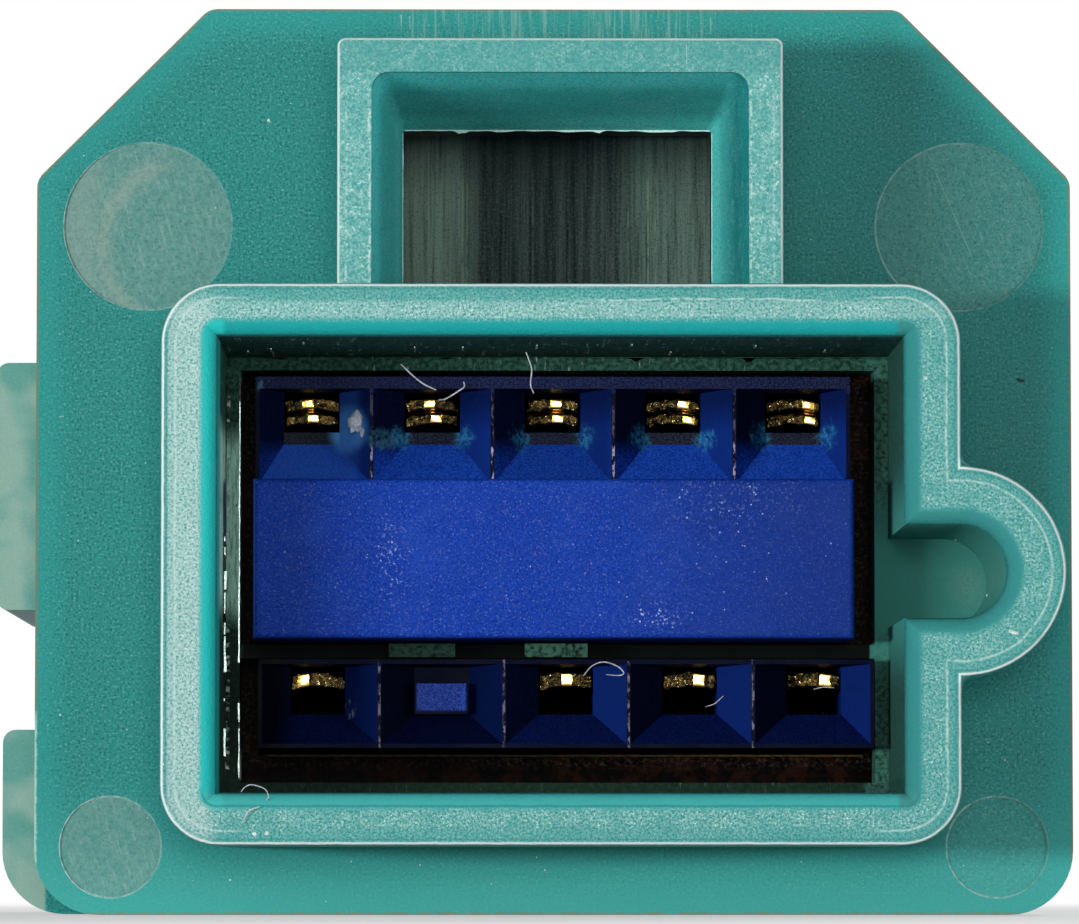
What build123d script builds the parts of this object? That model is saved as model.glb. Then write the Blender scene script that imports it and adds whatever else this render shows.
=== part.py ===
from build123d import *

import os
from math import sqrt

# Hazard light switch: a push-push switch in a two-part case, with a ten-way connector port at its rear.
#
# Frame: X across, Y from the connector port towards the button, Z up. The origin is the middle of the
# underside, in the plane of the rear flange's outer face. Millimetres.

# Fits
slip_gap = 0.15  # between moulded parts that slide or drop into each other
snug_gap = 0.06  # between a pressed part and its seat
running_gap = 0.03  # radial, round a pivot

# Case section, shared by both housings and by what fits inside them
case_width = 30.7
case_height = 26.9
corner_cut = 5.1
cut_round = 0.6
bottom_radius = 1.9
flange_thickness = 1.6
case_wall = 1.4
case_depth = 26.0

# Terminal blocks and their cells: a lower row, and an upper row that stands on a raised bar
cells_per_row = 5
cell_rib = 0.12
row_face_y = -1.5
funnel_depth = 1.0
block_back_y = 9.0
block_collar_depth = 2.0
block_collar_lip = 0.7
lower_row_offset = 0.24
lower_row_z = 4.9
lower_row_height = 2.6
lower_pitch = 3.66
lower_end_trim = 0.1
lower_hole = {"width": 1.62, "height": 1.4, "inset": 0.2}
lower_cell_open = (True, False, True, True, True)
blank_pad = {"width": 1.56, "height": 0.9, "rise": 0.55}
row_gap = 0.55
bar_face_y = -3.5
bar_height = 4.65
bar_edge_round = 0.15
upper_row_offset = -0.15
upper_row_height = 3.12
upper_pitch = 3.56
upper_end_trim = 0.15
upper_hole = {"width": 1.65, "height": 1.53, "inset": 0.41}
upper_sill = {"height": 0.36, "depth": 0.7}

# Connector port: the shroud that stands on the flange, with a window in its floor for the blocks
window_gap_x = 0.35
window_gap_above = 0.3
window_gap_below = 1.0
window_ledge = 0.4
port_centre_x = 0.1
port_side_wall = 1.6
port_end_wall = 1.5
port_radius = 1.7
port_reach = 8.0
rim_lead_in = 0.45
rim_edge_round = 0.15

# Half-round key channel on the side of the shroud
key_centre_z = 9.8
key_outer_radius = 3.0
key_inner_radius = 1.32
key_root_round = 0.4

# Latch pocket over the shroud, with the catch window in its floor
pocket_width = 12.86
pocket_top_z = 25.25
pocket_wall = 1.0
pocket_reach = 6.5
pocket_side_draft = 0.83
pocket_top_draft = 0.96
pocket_corner = 0.5
catch_corner = 0.15

# Ejector witness marks on the flange
mark_depth = 0.06
upper_mark = {"radius": 2.5, "x": 12.05, "z": 20.4}
lower_mark = {"radius": 1.5, "x": 13.1, "z": 2.0}

# Guide lugs on one side of the case
lug_start_y = 6.0
lug_length = 14.0
upper_lug_reach = 1.6
upper_lug_z = (9.25, 16.8)
lower_lug_reach = 1.35
lower_lug_top_z = 5.6
lug_round = 0.4

# Divider rib between the two blocks
divider_height = 0.4
divider_pads = ((-3.9, 1.95), (0.05, 1.85))
divider_pad_rise = 1.1

# Inner carrier behind the flange
carrier_face_y = 4.0
carrier_pad = {"width": 2.4, "height": 3.0, "x": 11.8, "z": (5.4, 18.6)}

# Terminals
strip = 0.2
leaf_pitch = 0.46
upper_leaf_drops = (0.26, 0.26)
lower_leaf_drops = (0.5,)
leaf_bump_length = 1.6
leaf_bump_drop = 0.12
leaf_heel_length = 1.2
terminal_front_y = -0.25
terminal_floor_y = 4.5
terminal_box_end_y = 7.0
tail_width = 0.64
tail_height = 0.4
tail_stand = 0.8

# Contact board
board_thickness = 1.6
spigot_radius = 1.2
spigot_height = 2.0
rivet_radius = 1.2
rivet_head = 0.5
rivet_shank_radius = 0.6
lamp_z = 18.0
lamp_radius = 1.5
lamp_flange = 0.4
lamp_length = 4.9
chip = {"width": 3.2, "height": 1.6, "thickness": 0.6, "edge": 0.1, "x": 8.0}

# Front housing
skirt_wall = 1.2
skirt_gap = 0.2
collar_depth = 3.0
sleeve_reach = 5.0
sleeve_wall = 0.9
bulkhead_thickness = 1.6
bulkhead_gap = 0.2
hook = {"width": 4.6, "length": 2.0, "ramp": 1.2, "rise": 1.0, "x": 6.0, "y": 20.0}
hook_window_gap = 0.3

# Button
travel = 4.5
button_width = 22.4
button_height = 18.4
button_centre_z = 13.05
button_radius = 2.0
button_wall = 1.2
button_stand = 4.5
button_skirt = 11.2
button_face_round = 1.1
slide_gap = 0.2
symbol_depth = 0.3
symbol_outer = {"radius": 7.0, "band": 0.62}
symbol_inner = {"radius": 3.7, "band": 0.55}
symbol_round = 0.45
symbol_drop = 0.9
diffuser_thickness = 1.0

# Plunger with its heart cam
plunger_width = 6.0
plunger_height = 5.4
plunger_z = 9.5
plunger_socket_wall = 1.0
plunger_socket_depth = 1.3
crossbar_width = 17.2
crossbar_height = 4.4
crossbar_depth = 4.0
cam_depth = 0.9
cam_swing = 1.6
cam_clear = 0.14

# Latch pin
pin_radius = 0.4
pin_length = 6.5
pin_pivot_y = 24.0
pin_leg = 2.0
pin_bend = 0.6
boss = {"width": 3.2, "height": 2.0, "length": 3.0}
leaf_spring = {"width": 2.0, "thickness": 0.2, "length": 4.0}

# Moving contacts
bridge_x = 7.0
bridge_span = 1.9
bridge = {"width": 6.0, "height": 2.4, "thickness": 0.5, "corner": 0.5}
dome_radius = 0.8
dome_height = 0.3
dome_round = 0.18
contact_gap = 0.05
guide_radius = 0.45
guide_head_radius = 0.65
bridge_pocket_radius = 1.35
bridge_pocket_depth = 1.8

# Coil springs
return_spring = {"radius": 1.55, "wire": 0.2, "turns": 7}
return_bore_radius = 1.9
return_bore_depth = 9.4
bridge_spring = {"radius": 1.0, "wire": 0.15, "turns": 2.5}

# Light pipe
pipe_radius = 2.25
pipe_reach = 9.1
pipe_collar_radius = 2.9
pipe_collar = 0.8


def centred(middle, width):
    """The two ends of a span that is this wide about its middle."""
    return middle - width / 2, middle + width / 2


# Places that follow from the sizes above
lower_row_width = cells_per_row * lower_pitch - 2 * lower_end_trim
lower_row_top_z = lower_row_z + lower_row_height
upper_row_width = cells_per_row * upper_pitch - 2 * upper_end_trim
bar_bottom_z = lower_row_top_z + row_gap
bar_top_z = bar_bottom_z + bar_height
upper_row_top_z = bar_top_z + upper_row_height
divider_z = (bar_bottom_z + lower_row_top_z) / 2
window_width = lower_row_width + 2 * window_gap_x
window_bottom_z = lower_row_z - window_gap_below
window_top_z = upper_row_top_z + window_gap_above
cavity_width = window_width + 2 * window_ledge
cavity_height = window_top_z - window_bottom_z + 2 * window_ledge
port_width = cavity_width + 2 * port_side_wall
port_height = cavity_height + 2 * port_end_wall
port_centre_z = (window_top_z + window_bottom_z) / 2
port_top_z = port_centre_z + port_height / 2
port_side_x = port_centre_x + port_width / 2
board_back_y = block_back_y
board_face_y = board_back_y + board_thickness
rivet_face_y = board_face_y + rivet_head
bridge_y = rivet_face_y + contact_gap + travel + dome_height
crossbar_back_y = bridge_y + bridge["thickness"] + slip_gap
crossbar_front_y = crossbar_back_y + crossbar_depth
bulkhead_back_y = crossbar_front_y + bulkhead_gap
bulkhead_front_y = bulkhead_back_y + bulkhead_thickness
seat_y = case_depth + collar_depth
sleeve_front_y = seat_y + sleeve_reach
button_face_y = sleeve_front_y + button_stand
button_inner_y = button_face_y - button_wall
plunger_top_z = plunger_z + plunger_height / 2
pin_z = plunger_top_z + 2.5 * pin_radius
pin_tip_y = pin_pivot_y + pin_length


def section_plane(y):
    """A sketch plane across the switch at y: its x is X, its y is Z, and it faces the connector side."""
    return Plane(origin=(0, y, 0), x_dir=(1, 0, 0), z_dir=(0, -1, 0))


def case_section(inset=0.0):
    """The case's outline, moved inwards: top corners cut at 45 degrees, bottom corners rounded."""
    with BuildSketch() as section:
        with Locations((0, case_height / 2)):
            Rectangle(case_width - 2 * inset, case_height - 2 * inset)
        chamfer(section.vertices().group_by(Axis.Y)[-1], corner_cut - inset * (2 - sqrt(2)))
        by_height = section.vertices().group_by(Axis.Y)
        fillet(by_height[-1] + by_height[-2], cut_round)
        fillet(section.vertices().group_by(Axis.Y)[0], max(bottom_radius - inset, cut_round))
    return section.sketch


def prism(section, y_from, y_to, mode=Mode.ADD):
    """Extrudes a section sketch from one Y to another, inside an open part."""
    extrude(section_plane(y_from) * section, amount=y_from - y_to, mode=mode)


def box_section(x, z):
    """A rectangle between two X values and two Z values, as a section sketch."""
    with BuildSketch() as section:
        with Locations(((x[0] + x[1]) / 2, (z[0] + z[1]) / 2)):
            Rectangle(x[1] - x[0], z[1] - z[0])
    return section.sketch


def round_section(centre, radius):
    """A circle as a section sketch."""
    with BuildSketch() as section:
        with Locations(centre):
            Circle(radius)
    return section.sketch


def spread(count, pitch, centre):
    """Centres of a row of evenly spaced cells."""
    return [centre + (i - (count - 1) / 2) * pitch for i in range(count)]


def hole_span(hole, row_top_z):
    """Bottom and top of a row's contact holes."""
    return row_top_z - hole["inset"] - hole["height"], row_top_z - hole["inset"]


lower_row_centre_x = port_centre_x + lower_row_offset
upper_row_centre_x = port_centre_x + upper_row_offset
upper_cells = spread(cells_per_row, upper_pitch, upper_row_centre_x)
lower_cells = spread(cells_per_row, lower_pitch, lower_row_centre_x)
upper_row_x_span = centred(upper_row_centre_x, upper_row_width)
upper_row_z_span = (bar_bottom_z, upper_row_top_z)
upper_hole_z = hole_span(upper_hole, upper_row_top_z)
lower_row_x_span = centred(lower_row_centre_x, lower_row_width)
lower_row_z_span = (lower_row_z, lower_row_top_z)
lower_hole_z = hole_span(lower_hole, lower_row_top_z)


# ---------------------------------------------------------------- rear housing
def port_section():
    """Outside of the connector shroud: a rounded rectangle with the half-round key channel on its side."""
    with BuildSketch() as section:
        with Locations((port_centre_x, port_centre_z)):
            RectangleRounded(port_width, port_height, port_radius)
        with Locations((port_side_x, key_centre_z)):
            Circle(key_outer_radius)
        on_side = section.vertices().filter_by_position(Axis.X, port_side_x - 0.01, port_side_x + 0.01)
        fillet(on_side.sort_by(Axis.Y)[1:3], key_root_round)
    return section.sketch


def cavity_section():
    """Inside of the shroud: a rectangle that runs into the key channel."""
    with BuildSketch() as section:
        with Locations((port_centre_x, port_centre_z)):
            Rectangle(cavity_width, cavity_height)
        with Locations((port_side_x, key_centre_z)):
            Circle(key_inner_radius)
        with Locations((port_side_x - port_side_wall / 2, key_centre_z)):
            Rectangle(port_side_wall, 2 * key_inner_radius)
    return section.sketch


def pocket_section(y, half_width, top_z, corner):
    """Opening of the latch pocket at one depth, from the shroud's top upwards."""
    with BuildSketch(section_plane(y)) as section:
        add(box_section(centred(port_centre_x, 2 * half_width), (port_top_z, top_z)))
        fillet(section.vertices().group_by(Axis.Y)[-1], corner)
    return section.sketch


def lower_lug_section():
    """The lower guide lug, which keeps the case's rounded bottom corner."""
    left = -case_width / 2 - lower_lug_reach
    with BuildSketch() as section:
        add(box_section((left, -case_width / 2 + 2 * case_wall), (0, lower_lug_top_z)))
        corners = section.vertices().group_by(Axis.X)[0]
        fillet(corners.sort_by(Axis.Y)[0], bottom_radius)
        fillet(section.vertices().group_by(Axis.X)[0].sort_by(Axis.Y)[-1], lug_round)
    return section.sketch


def cut_latch_pocket():
    """Hollows the latch pocket with drafted walls, down to the catch window through the flange."""
    half_rim = pocket_width / 2 - pocket_wall
    rim_top = pocket_top_z - pocket_wall
    rim = pocket_section(-pocket_reach, half_rim, rim_top, pocket_corner)
    catch = pocket_section(0, half_rim - pocket_side_draft, rim_top - pocket_top_draft, catch_corner)
    loft(sections=[rim, catch], mode=Mode.SUBTRACT)
    extrude(catch, amount=-flange_thickness, mode=Mode.SUBTRACT)


def hook_places():
    """Middles of the four hooks, two on the top wall and two on the bottom wall, with their side."""
    return [(x, side) for side in (-1, 1) for x in (-hook["x"], hook["x"])]


with BuildPart() as rear_housing:
    prism(case_section(), 0, case_depth)
    prism(case_section(case_wall), flange_thickness, case_depth, Mode.SUBTRACT)
    # Latch pocket walls, which run into the shroud's upper wall
    with BuildSketch(section_plane(0)) as pocket_walls:
        add(box_section(centred(port_centre_x, pocket_width), (port_centre_z, pocket_top_z)))
        fillet(pocket_walls.vertices().group_by(Axis.Y)[-1], pocket_corner / 2)
    extrude(amount=pocket_reach)
    fillet(rear_housing.faces().sort_by(Axis.Y)[0].edges(), rim_edge_round)
    cut_latch_pocket()
    # Shroud, its key channel and its cavity
    prism(port_section(), 0, -port_reach)
    prism(cavity_section(), -port_reach, 0, Mode.SUBTRACT)
    rim_face = rear_housing.faces().sort_by(Axis.Y)[0]
    fillet(rim_face.outer_wire().edges(), rim_edge_round)
    rim_face = rear_housing.faces().sort_by(Axis.Y)[0]
    fillet(rim_face.inner_wires()[0].edges(), rim_lead_in)
    # Window for the terminal blocks, crossed by the divider rib with its two pads
    window_x = centred(port_centre_x, window_width)
    prism(box_section(window_x, (window_bottom_z, window_top_z)), 0, flange_thickness, Mode.SUBTRACT)
    divider_span = centred(divider_z, divider_height)
    prism(box_section(window_x, divider_span), 0, flange_thickness)
    for pad_x, pad_width in divider_pads:
        prism(box_section(centred(pad_x, pad_width), divider_span), -divider_pad_rise, flange_thickness)
    # Ejector witness marks
    for mark in (upper_mark, lower_mark):
        for side in (-1, 1):
            spot = round_section((side * mark["x"], mark["z"]), mark["radius"])
            prism(spot, 0, mark_depth, Mode.SUBTRACT)
    # Guide lugs
    lug_left = -case_width / 2 - upper_lug_reach
    with BuildSketch(section_plane(lug_start_y)) as upper_lug:
        add(box_section((lug_left, -case_width / 2 + case_wall / 2), upper_lug_z))
        fillet(upper_lug.vertices().group_by(Axis.X)[0], lug_round)
    extrude(amount=-lug_length)
    prism(lower_lug_section(), lug_start_y, lug_start_y + lug_length)
    # Nothing of the lugs stays inside the case
    prism(case_section(case_wall), flange_thickness, case_depth, Mode.SUBTRACT)
    # Windows for the front housing's hooks
    for hook_x, side in hook_places():
        window_centre = (hook_x, hook["y"] + hook["length"] / 2)
        wall_z = case_height if side > 0 else 0
        with BuildSketch(Plane.XY.offset(wall_z)):
            with Locations(window_centre):
                Rectangle(hook["width"] + 2 * hook_window_gap, hook["length"] + 2 * hook_window_gap)
        extrude(amount=-side * case_wall * 1.2, mode=Mode.SUBTRACT)
rear_housing.part.label = "rear_housing"


# ---------------------------------------------------------------- terminal blocks
def cut_cell(x, hole_width, hole_z, mouth_x, mouth_z, is_open=True):
    """Cuts one cell: a funnel from the row's face to the contact hole, and the hole behind it."""
    hole_section = box_section(centred(x, hole_width), hole_z)
    mouth = section_plane(row_face_y) * box_section(mouth_x, mouth_z)
    throat = section_plane(row_face_y + funnel_depth) * hole_section
    loft(sections=[mouth, throat], mode=Mode.SUBTRACT)
    if is_open:
        prism(hole_section, row_face_y + funnel_depth, block_back_y, Mode.SUBTRACT)


def mouth_spans(centres, pitch, row_x):
    """Span of each cell's funnel: half a rib from its neighbours, and a rib inside the row's ends."""
    half = (pitch - cell_rib) / 2
    ends = (row_x[0] + cell_rib, row_x[1] - cell_rib)
    return [(max(x - half, ends[0]), min(x + half, ends[1])) for x in centres]


def collar_section(x, z, gap=0.0):
    """Outline of the lips at both ends of a block's back, which the carrier holds."""
    reach = block_collar_lip + gap
    return box_section((x[0] - reach, x[1] + reach), (z[0] - gap, z[1] + gap))


collar_back_y = block_back_y - block_collar_depth
upper_mouth_z = (bar_top_z, upper_hole_z[1] + cell_rib / 2)
upper_sill_z = (upper_hole_z[0], upper_hole_z[0] + upper_sill["height"])
sill_face_y = row_face_y + funnel_depth + snug_gap
with BuildPart() as upper_terminal_block:
    prism(box_section(upper_row_x_span, upper_row_z_span), row_face_y, block_back_y)
    prism(collar_section(upper_row_x_span, upper_row_z_span), collar_back_y, block_back_y)
    upper_mouths = mouth_spans(upper_cells, upper_pitch, upper_row_x_span)
    for cell_x, mouth_x in zip(upper_cells, upper_mouths):
        cut_cell(cell_x, upper_hole["width"], upper_hole_z, mouth_x, upper_mouth_z)
        sill = box_section(centred(cell_x, upper_hole["width"]), upper_sill_z)
        prism(sill, sill_face_y, sill_face_y + upper_sill["depth"])
    prism(box_section(upper_row_x_span, (bar_bottom_z, bar_top_z)), bar_face_y, row_face_y)
    fillet(upper_terminal_block.faces().sort_by(Axis.Y)[0].edges(), bar_edge_round)
upper_terminal_block.part.label = "upper_terminal_block"

lower_mouth_z = (lower_row_z + cell_rib, lower_hole_z[1] + cell_rib / 2)
with BuildPart() as lower_terminal_block:
    prism(box_section(lower_row_x_span, lower_row_z_span), row_face_y, block_back_y)
    prism(collar_section(lower_row_x_span, lower_row_z_span), collar_back_y, block_back_y)
    lower_mouths = mouth_spans(lower_cells, lower_pitch, lower_row_x_span)
    for cell_x, mouth_x, is_open in zip(lower_cells, lower_mouths, lower_cell_open):
        cut_cell(cell_x, lower_hole["width"], lower_hole_z, mouth_x, lower_mouth_z, is_open)
        if not is_open:
            pad_z = (lower_hole_z[0], lower_hole_z[0] + blank_pad["height"])
            pad_section = box_section(centred(cell_x, blank_pad["width"]), pad_z)
            throat_y = row_face_y + funnel_depth
            prism(pad_section, throat_y - blank_pad["rise"], throat_y + funnel_depth)
lower_terminal_block.part.label = "lower_terminal_block"


# ---------------------------------------------------------------- terminals
def leaf_path(level, nose_drop):
    """A spring leaf in the YZ plane: out to a curled nose at the mouth, and back to its contact bump."""
    nose_y = terminal_front_y + (nose_drop + strip) / 2
    bump_y = nose_y + leaf_bump_length
    curl_z = level - nose_drop
    with BuildLine() as path:
        Line((terminal_box_end_y - strip / 2, level), (nose_y, level))
        ThreePointArc((nose_y, level), (nose_y - nose_drop / 2, level - nose_drop / 2), (nose_y, curl_z))
        heel = (bump_y + leaf_heel_length, curl_z)
        ThreePointArc((nose_y, curl_z), (bump_y, curl_z - leaf_bump_drop), heel)
    return path.line


def terminal(label, x, hole_width, hole_z, leaf_drops):
    """One receptacle: a folded strip whose spring leaves show in the cell's hole, with a board tail."""
    width = hole_width - 2 * snug_gap
    bottom = hole_z[0] + snug_gap
    top = hole_z[1] - snug_gap
    floor_z = bottom + strip / 2
    back_y = terminal_box_end_y - strip / 2
    with BuildPart() as part:
        with BuildSketch(Plane.YZ.offset(x - width / 2)):
            for leaf, drop in enumerate(leaf_drops):
                with BuildLine():
                    add(leaf_path(top - strip / 2 - leaf * leaf_pitch, drop))
                trace(line_width=strip)
            with BuildLine():
                Polyline((terminal_floor_y, floor_z), (back_y, floor_z), (back_y, top))
            trace(line_width=strip)
        extrude(amount=width)
        tail = box_section(centred(x, tail_width), centred((top + bottom) / 2, tail_height))
        prism(tail, terminal_box_end_y - strip, board_face_y + tail_stand)
    part.part.label = label
    return part.part


terminals = []
tail_places = []
rows = (
    ("upper", upper_cells, upper_hole["width"], upper_hole_z, upper_leaf_drops, (True,) * cells_per_row),
    ("lower", lower_cells, lower_hole["width"], lower_hole_z, lower_leaf_drops, lower_cell_open),
)
for row_name, cells, hole_width, hole_z, leaf_drops, open_cells in rows:
    for number, (cell_x, is_open) in enumerate(zip(cells, open_cells), 1):
        if is_open:
            label = f"{row_name}_terminal_{number}"
            terminals.append(terminal(label, cell_x, hole_width, hole_z, leaf_drops))
            tail_places.append((cell_x, sum(hole_z) / 2))


# ---------------------------------------------------------------- inner carrier and contact board
block_spans = ((upper_row_x_span, upper_row_z_span), (lower_row_x_span, lower_row_z_span))


def block_seat(x, z):
    """A block's outline with clearance, for the carrier's opening."""
    return box_section((x[0] - slip_gap, x[1] + slip_gap), (z[0] - slip_gap, z[1] + slip_gap))


with BuildPart() as inner_carrier:
    prism(case_section(case_wall + slip_gap), carrier_face_y, block_back_y)
    for side in (-1, 1):
        for pad_z in carrier_pad["z"]:
            pad_x = centred(side * carrier_pad["x"], carrier_pad["width"])
            pad_section = box_section(pad_x, centred(pad_z, carrier_pad["height"]))
            prism(pad_section, flange_thickness, carrier_face_y)
    for row_x, row_z in block_spans:
        prism(block_seat(row_x, row_z), carrier_face_y, block_back_y, Mode.SUBTRACT)
        lip_back_y = collar_back_y - snug_gap
        prism(collar_section(row_x, row_z, slip_gap), lip_back_y, block_back_y, Mode.SUBTRACT)
inner_carrier.part.label = "inner_carrier"

bridge_steps = (-bridge_span, bridge_span)
rivet_places = [(side * bridge_x + step, plunger_z) for side in (-1, 1) for step in bridge_steps]
with BuildPart() as contact_board:
    prism(case_section(case_wall + slip_gap), board_back_y, board_face_y)
    prism(round_section((0, plunger_z), spigot_radius), board_face_y, board_face_y + spigot_height)
    for tail_x, tail_z in tail_places:
        slot_x = centred(tail_x, tail_width + 2 * snug_gap)
        slot_z = centred(tail_z, tail_height + 2 * snug_gap)
        prism(box_section(slot_x, slot_z), board_back_y, board_face_y, Mode.SUBTRACT)
    for place in rivet_places:
        shank_hole = round_section(place, rivet_shank_radius + snug_gap)
        prism(shank_hole, board_back_y, board_face_y, Mode.SUBTRACT)
contact_board.part.label = "contact_board"

with BuildPart() as fixed_contact_rivets:
    for place in rivet_places:
        prism(round_section(place, rivet_radius), board_face_y, rivet_face_y)
        prism(round_section(place, rivet_shank_radius), board_back_y, board_face_y)
fixed_contact_rivets.part.label = "fixed_contact_rivets"

with BuildPart() as indicator_lamp:
    with BuildSketch(Plane.YZ) as lamp_profile:
        with BuildLine():
            lamp_start = (board_face_y, lamp_z)
            flange_corner = (board_face_y, lamp_z + lamp_radius + lamp_flange)
            flange_end = (board_face_y + 2 * lamp_flange, lamp_z + lamp_radius + lamp_flange)
            body_start = (board_face_y + 2 * lamp_flange, lamp_z + lamp_radius)
            dome_start = (board_face_y + lamp_length - lamp_radius, lamp_z + lamp_radius)
            dome_end = (board_face_y + lamp_length, lamp_z)
            Polyline(dome_end, lamp_start, flange_corner, flange_end, body_start, dome_start)
            RadiusArc(dome_start, dome_end, lamp_radius)
        make_face()
    revolve(axis=Axis((0, 0, lamp_z), (0, 1, 0)))
indicator_lamp.part.label = "indicator_lamp"

with BuildPart() as series_resistor:
    chip_section = box_section(centred(chip["x"], chip["width"]), centred(lamp_z, chip["height"]))
    prism(chip_section, board_face_y, board_face_y + chip["thickness"])
    chamfer(series_resistor.edges().filter_by(Axis.Y), chip["edge"])
series_resistor.part.label = "series_resistor"


# ---------------------------------------------------------------- front housing
def button_section(grow=0.0):
    """The button's rounded outline, grown for the sleeve round it."""
    with BuildSketch() as section:
        with Locations((0, button_centre_z)):
            RectangleRounded(button_width + 2 * grow, button_height + 2 * grow, button_radius + grow)
    return section.sketch



def plunger_section(grow=0.0):
    """The plunger's outline, grown for what guides or holds it."""
    return box_section(centred(0, plunger_width + 2 * grow), centred(plunger_z, plunger_height + 2 * grow))


skirt_back_y = board_face_y + skirt_gap
skirt_inset = case_wall + slip_gap
boss_bottom_z = pin_z + pin_radius + slip_gap / 2
boss_span = (boss_bottom_z, boss_bottom_z + boss["height"])
with BuildPart() as front_housing:
    prism(case_section(skirt_inset), skirt_back_y, case_depth)
    prism(case_section(), case_depth, seat_y)
    prism(button_section(slide_gap + sleeve_wall), seat_y, sleeve_front_y)
    sleeve_rim = front_housing.faces().sort_by(Axis.Y)[-1].edges()
    fillet(sleeve_rim, sleeve_wall / 3)
    prism(case_section(skirt_inset + skirt_wall), skirt_back_y, bulkhead_back_y, Mode.SUBTRACT)
    prism(button_section(slide_gap), bulkhead_front_y, sleeve_front_y, Mode.SUBTRACT)
    # The plunger's guide and the light pipe's seat through the bulkhead
    prism(plunger_section(slip_gap), bulkhead_back_y, bulkhead_front_y, Mode.SUBTRACT)
    pipe_seat = round_section((0, lamp_z), pipe_radius + snug_gap)
    prism(pipe_seat, bulkhead_back_y, bulkhead_front_y, Mode.SUBTRACT)
    # The latch pin's bearing
    boss_section = box_section(centred(0, boss["width"]), boss_span)
    prism(boss_section, bulkhead_front_y, bulkhead_front_y + boss["length"])
    with BuildSketch(Plane.XY.offset(boss_bottom_z)):
        with Locations((0, pin_pivot_y)):
            Circle(pin_radius + running_gap)
    extrude(amount=pin_leg - pin_radius, mode=Mode.SUBTRACT)
    # Hooks that snap into the rear housing's windows
    for hook_x, side in hook_places():
        skirt_z = case_height - skirt_inset if side > 0 else skirt_inset
        with BuildSketch(Plane.YZ.offset(hook_x - hook["width"] / 2)):
            with BuildLine():
                hook_top_z = skirt_z + side * hook["rise"]
                Polyline(
                    (hook["y"], skirt_z),
                    (hook["y"] + hook["ramp"], hook_top_z),
                    (hook["y"] + hook["length"], hook_top_z),
                    (hook["y"] + hook["length"], skirt_z),
                    close=True,
                )
            make_face()
        extrude(amount=hook["width"])
front_housing.part.label = "front_housing"

with BuildPart() as light_pipe:
    pipe_back_y = bulkhead_back_y - pipe_collar
    prism(round_section((0, lamp_z), pipe_radius), pipe_back_y, bulkhead_front_y + pipe_reach)
    prism(round_section((0, lamp_z), pipe_collar_radius), pipe_back_y, bulkhead_back_y)
    fillet(light_pipe.faces().sort_by(Axis.Y)[-1].edges(), pipe_radius / 4)
light_pipe.part.label = "light_pipe"


# ---------------------------------------------------------------- button
def triangle_band(radius, band):
    """One outline of the warning symbol: a triangle ring with rounded corners, point up."""
    with BuildSketch() as section:
        with Locations((0, button_centre_z - symbol_drop)):
            RegularPolygon(radius, 3, rotation=90)
            fillet(section.vertices(), symbol_round)
    with BuildSketch() as hole:
        with Locations((0, button_centre_z - symbol_drop)):
            RegularPolygon(radius - 2 * band, 3, rotation=90)
            fillet(hole.vertices(), symbol_round / 2)
    return section.sketch - hole.sketch


socket_grow = snug_gap + plunger_socket_wall
socket_back_y = button_inner_y - plunger_socket_depth
symbol_bands = (symbol_outer, symbol_inner)
with BuildPart() as button_cap:
    prism(button_section(), button_face_y - button_skirt, button_face_y)
    fillet(button_cap.faces().sort_by(Axis.Y)[-1].edges(), button_face_round)
    prism(button_section(-button_wall), button_face_y - button_skirt, button_inner_y, Mode.SUBTRACT)
    prism(plunger_section(socket_grow), socket_back_y, button_inner_y)
    prism(plunger_section(snug_gap), socket_back_y, button_inner_y, Mode.SUBTRACT)
    for symbol in symbol_bands:
        band = triangle_band(symbol["radius"], symbol["band"])
        prism(band, button_face_y - symbol_depth, button_face_y, Mode.SUBTRACT)
button_cap.part.label = "button_cap"

with BuildPart() as warning_symbol:
    for symbol in symbol_bands:
        band = triangle_band(symbol["radius"], symbol["band"])
        prism(band, button_face_y - symbol_depth, button_face_y)
warning_symbol.part.label = "warning_symbol"

with BuildPart() as diffuser:
    diffuser_back_y = button_inner_y - diffuser_thickness
    prism(button_section(-button_wall - slip_gap), diffuser_back_y, button_inner_y)
    prism(plunger_section(socket_grow + slip_gap), diffuser_back_y, button_inner_y, Mode.SUBTRACT)
diffuser.part.label = "diffuser"


# ---------------------------------------------------------------- plunger
def cam_track():
    """The heart cam on the plunger's top face, around the latch pin's tip: the pocket less its heart."""
    swing = cam_swing
    groove = pin_radius + cam_clear
    end_y = pin_tip_y + travel
    with BuildSketch() as pocket:
        with BuildLine():
            Polyline(
                (-groove, pin_tip_y),
                (-swing - groove, end_y - groove),
                (-swing - groove, end_y + groove),
                (swing + groove, end_y + groove),
                (swing + groove, end_y - groove),
                (groove, pin_tip_y),
                close=True,
            )
        make_face()
        with Locations((0, pin_tip_y)):
            Circle(groove)
    lane = groove * 1.06
    heart_tip_y = pin_tip_y + lane * travel / swing
    heart_lobe_y = end_y - 2 * groove
    heart_half = swing * (heart_lobe_y - pin_tip_y) / travel - lane
    with BuildSketch() as heart:
        with BuildLine():
            Polyline(
                (0, heart_tip_y),
                (heart_half, heart_lobe_y),
                (0, heart_lobe_y - heart_half),
                (-heart_half, heart_lobe_y),
                close=True,
            )
        make_face()
    return pocket.sketch - heart.sketch


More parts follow.
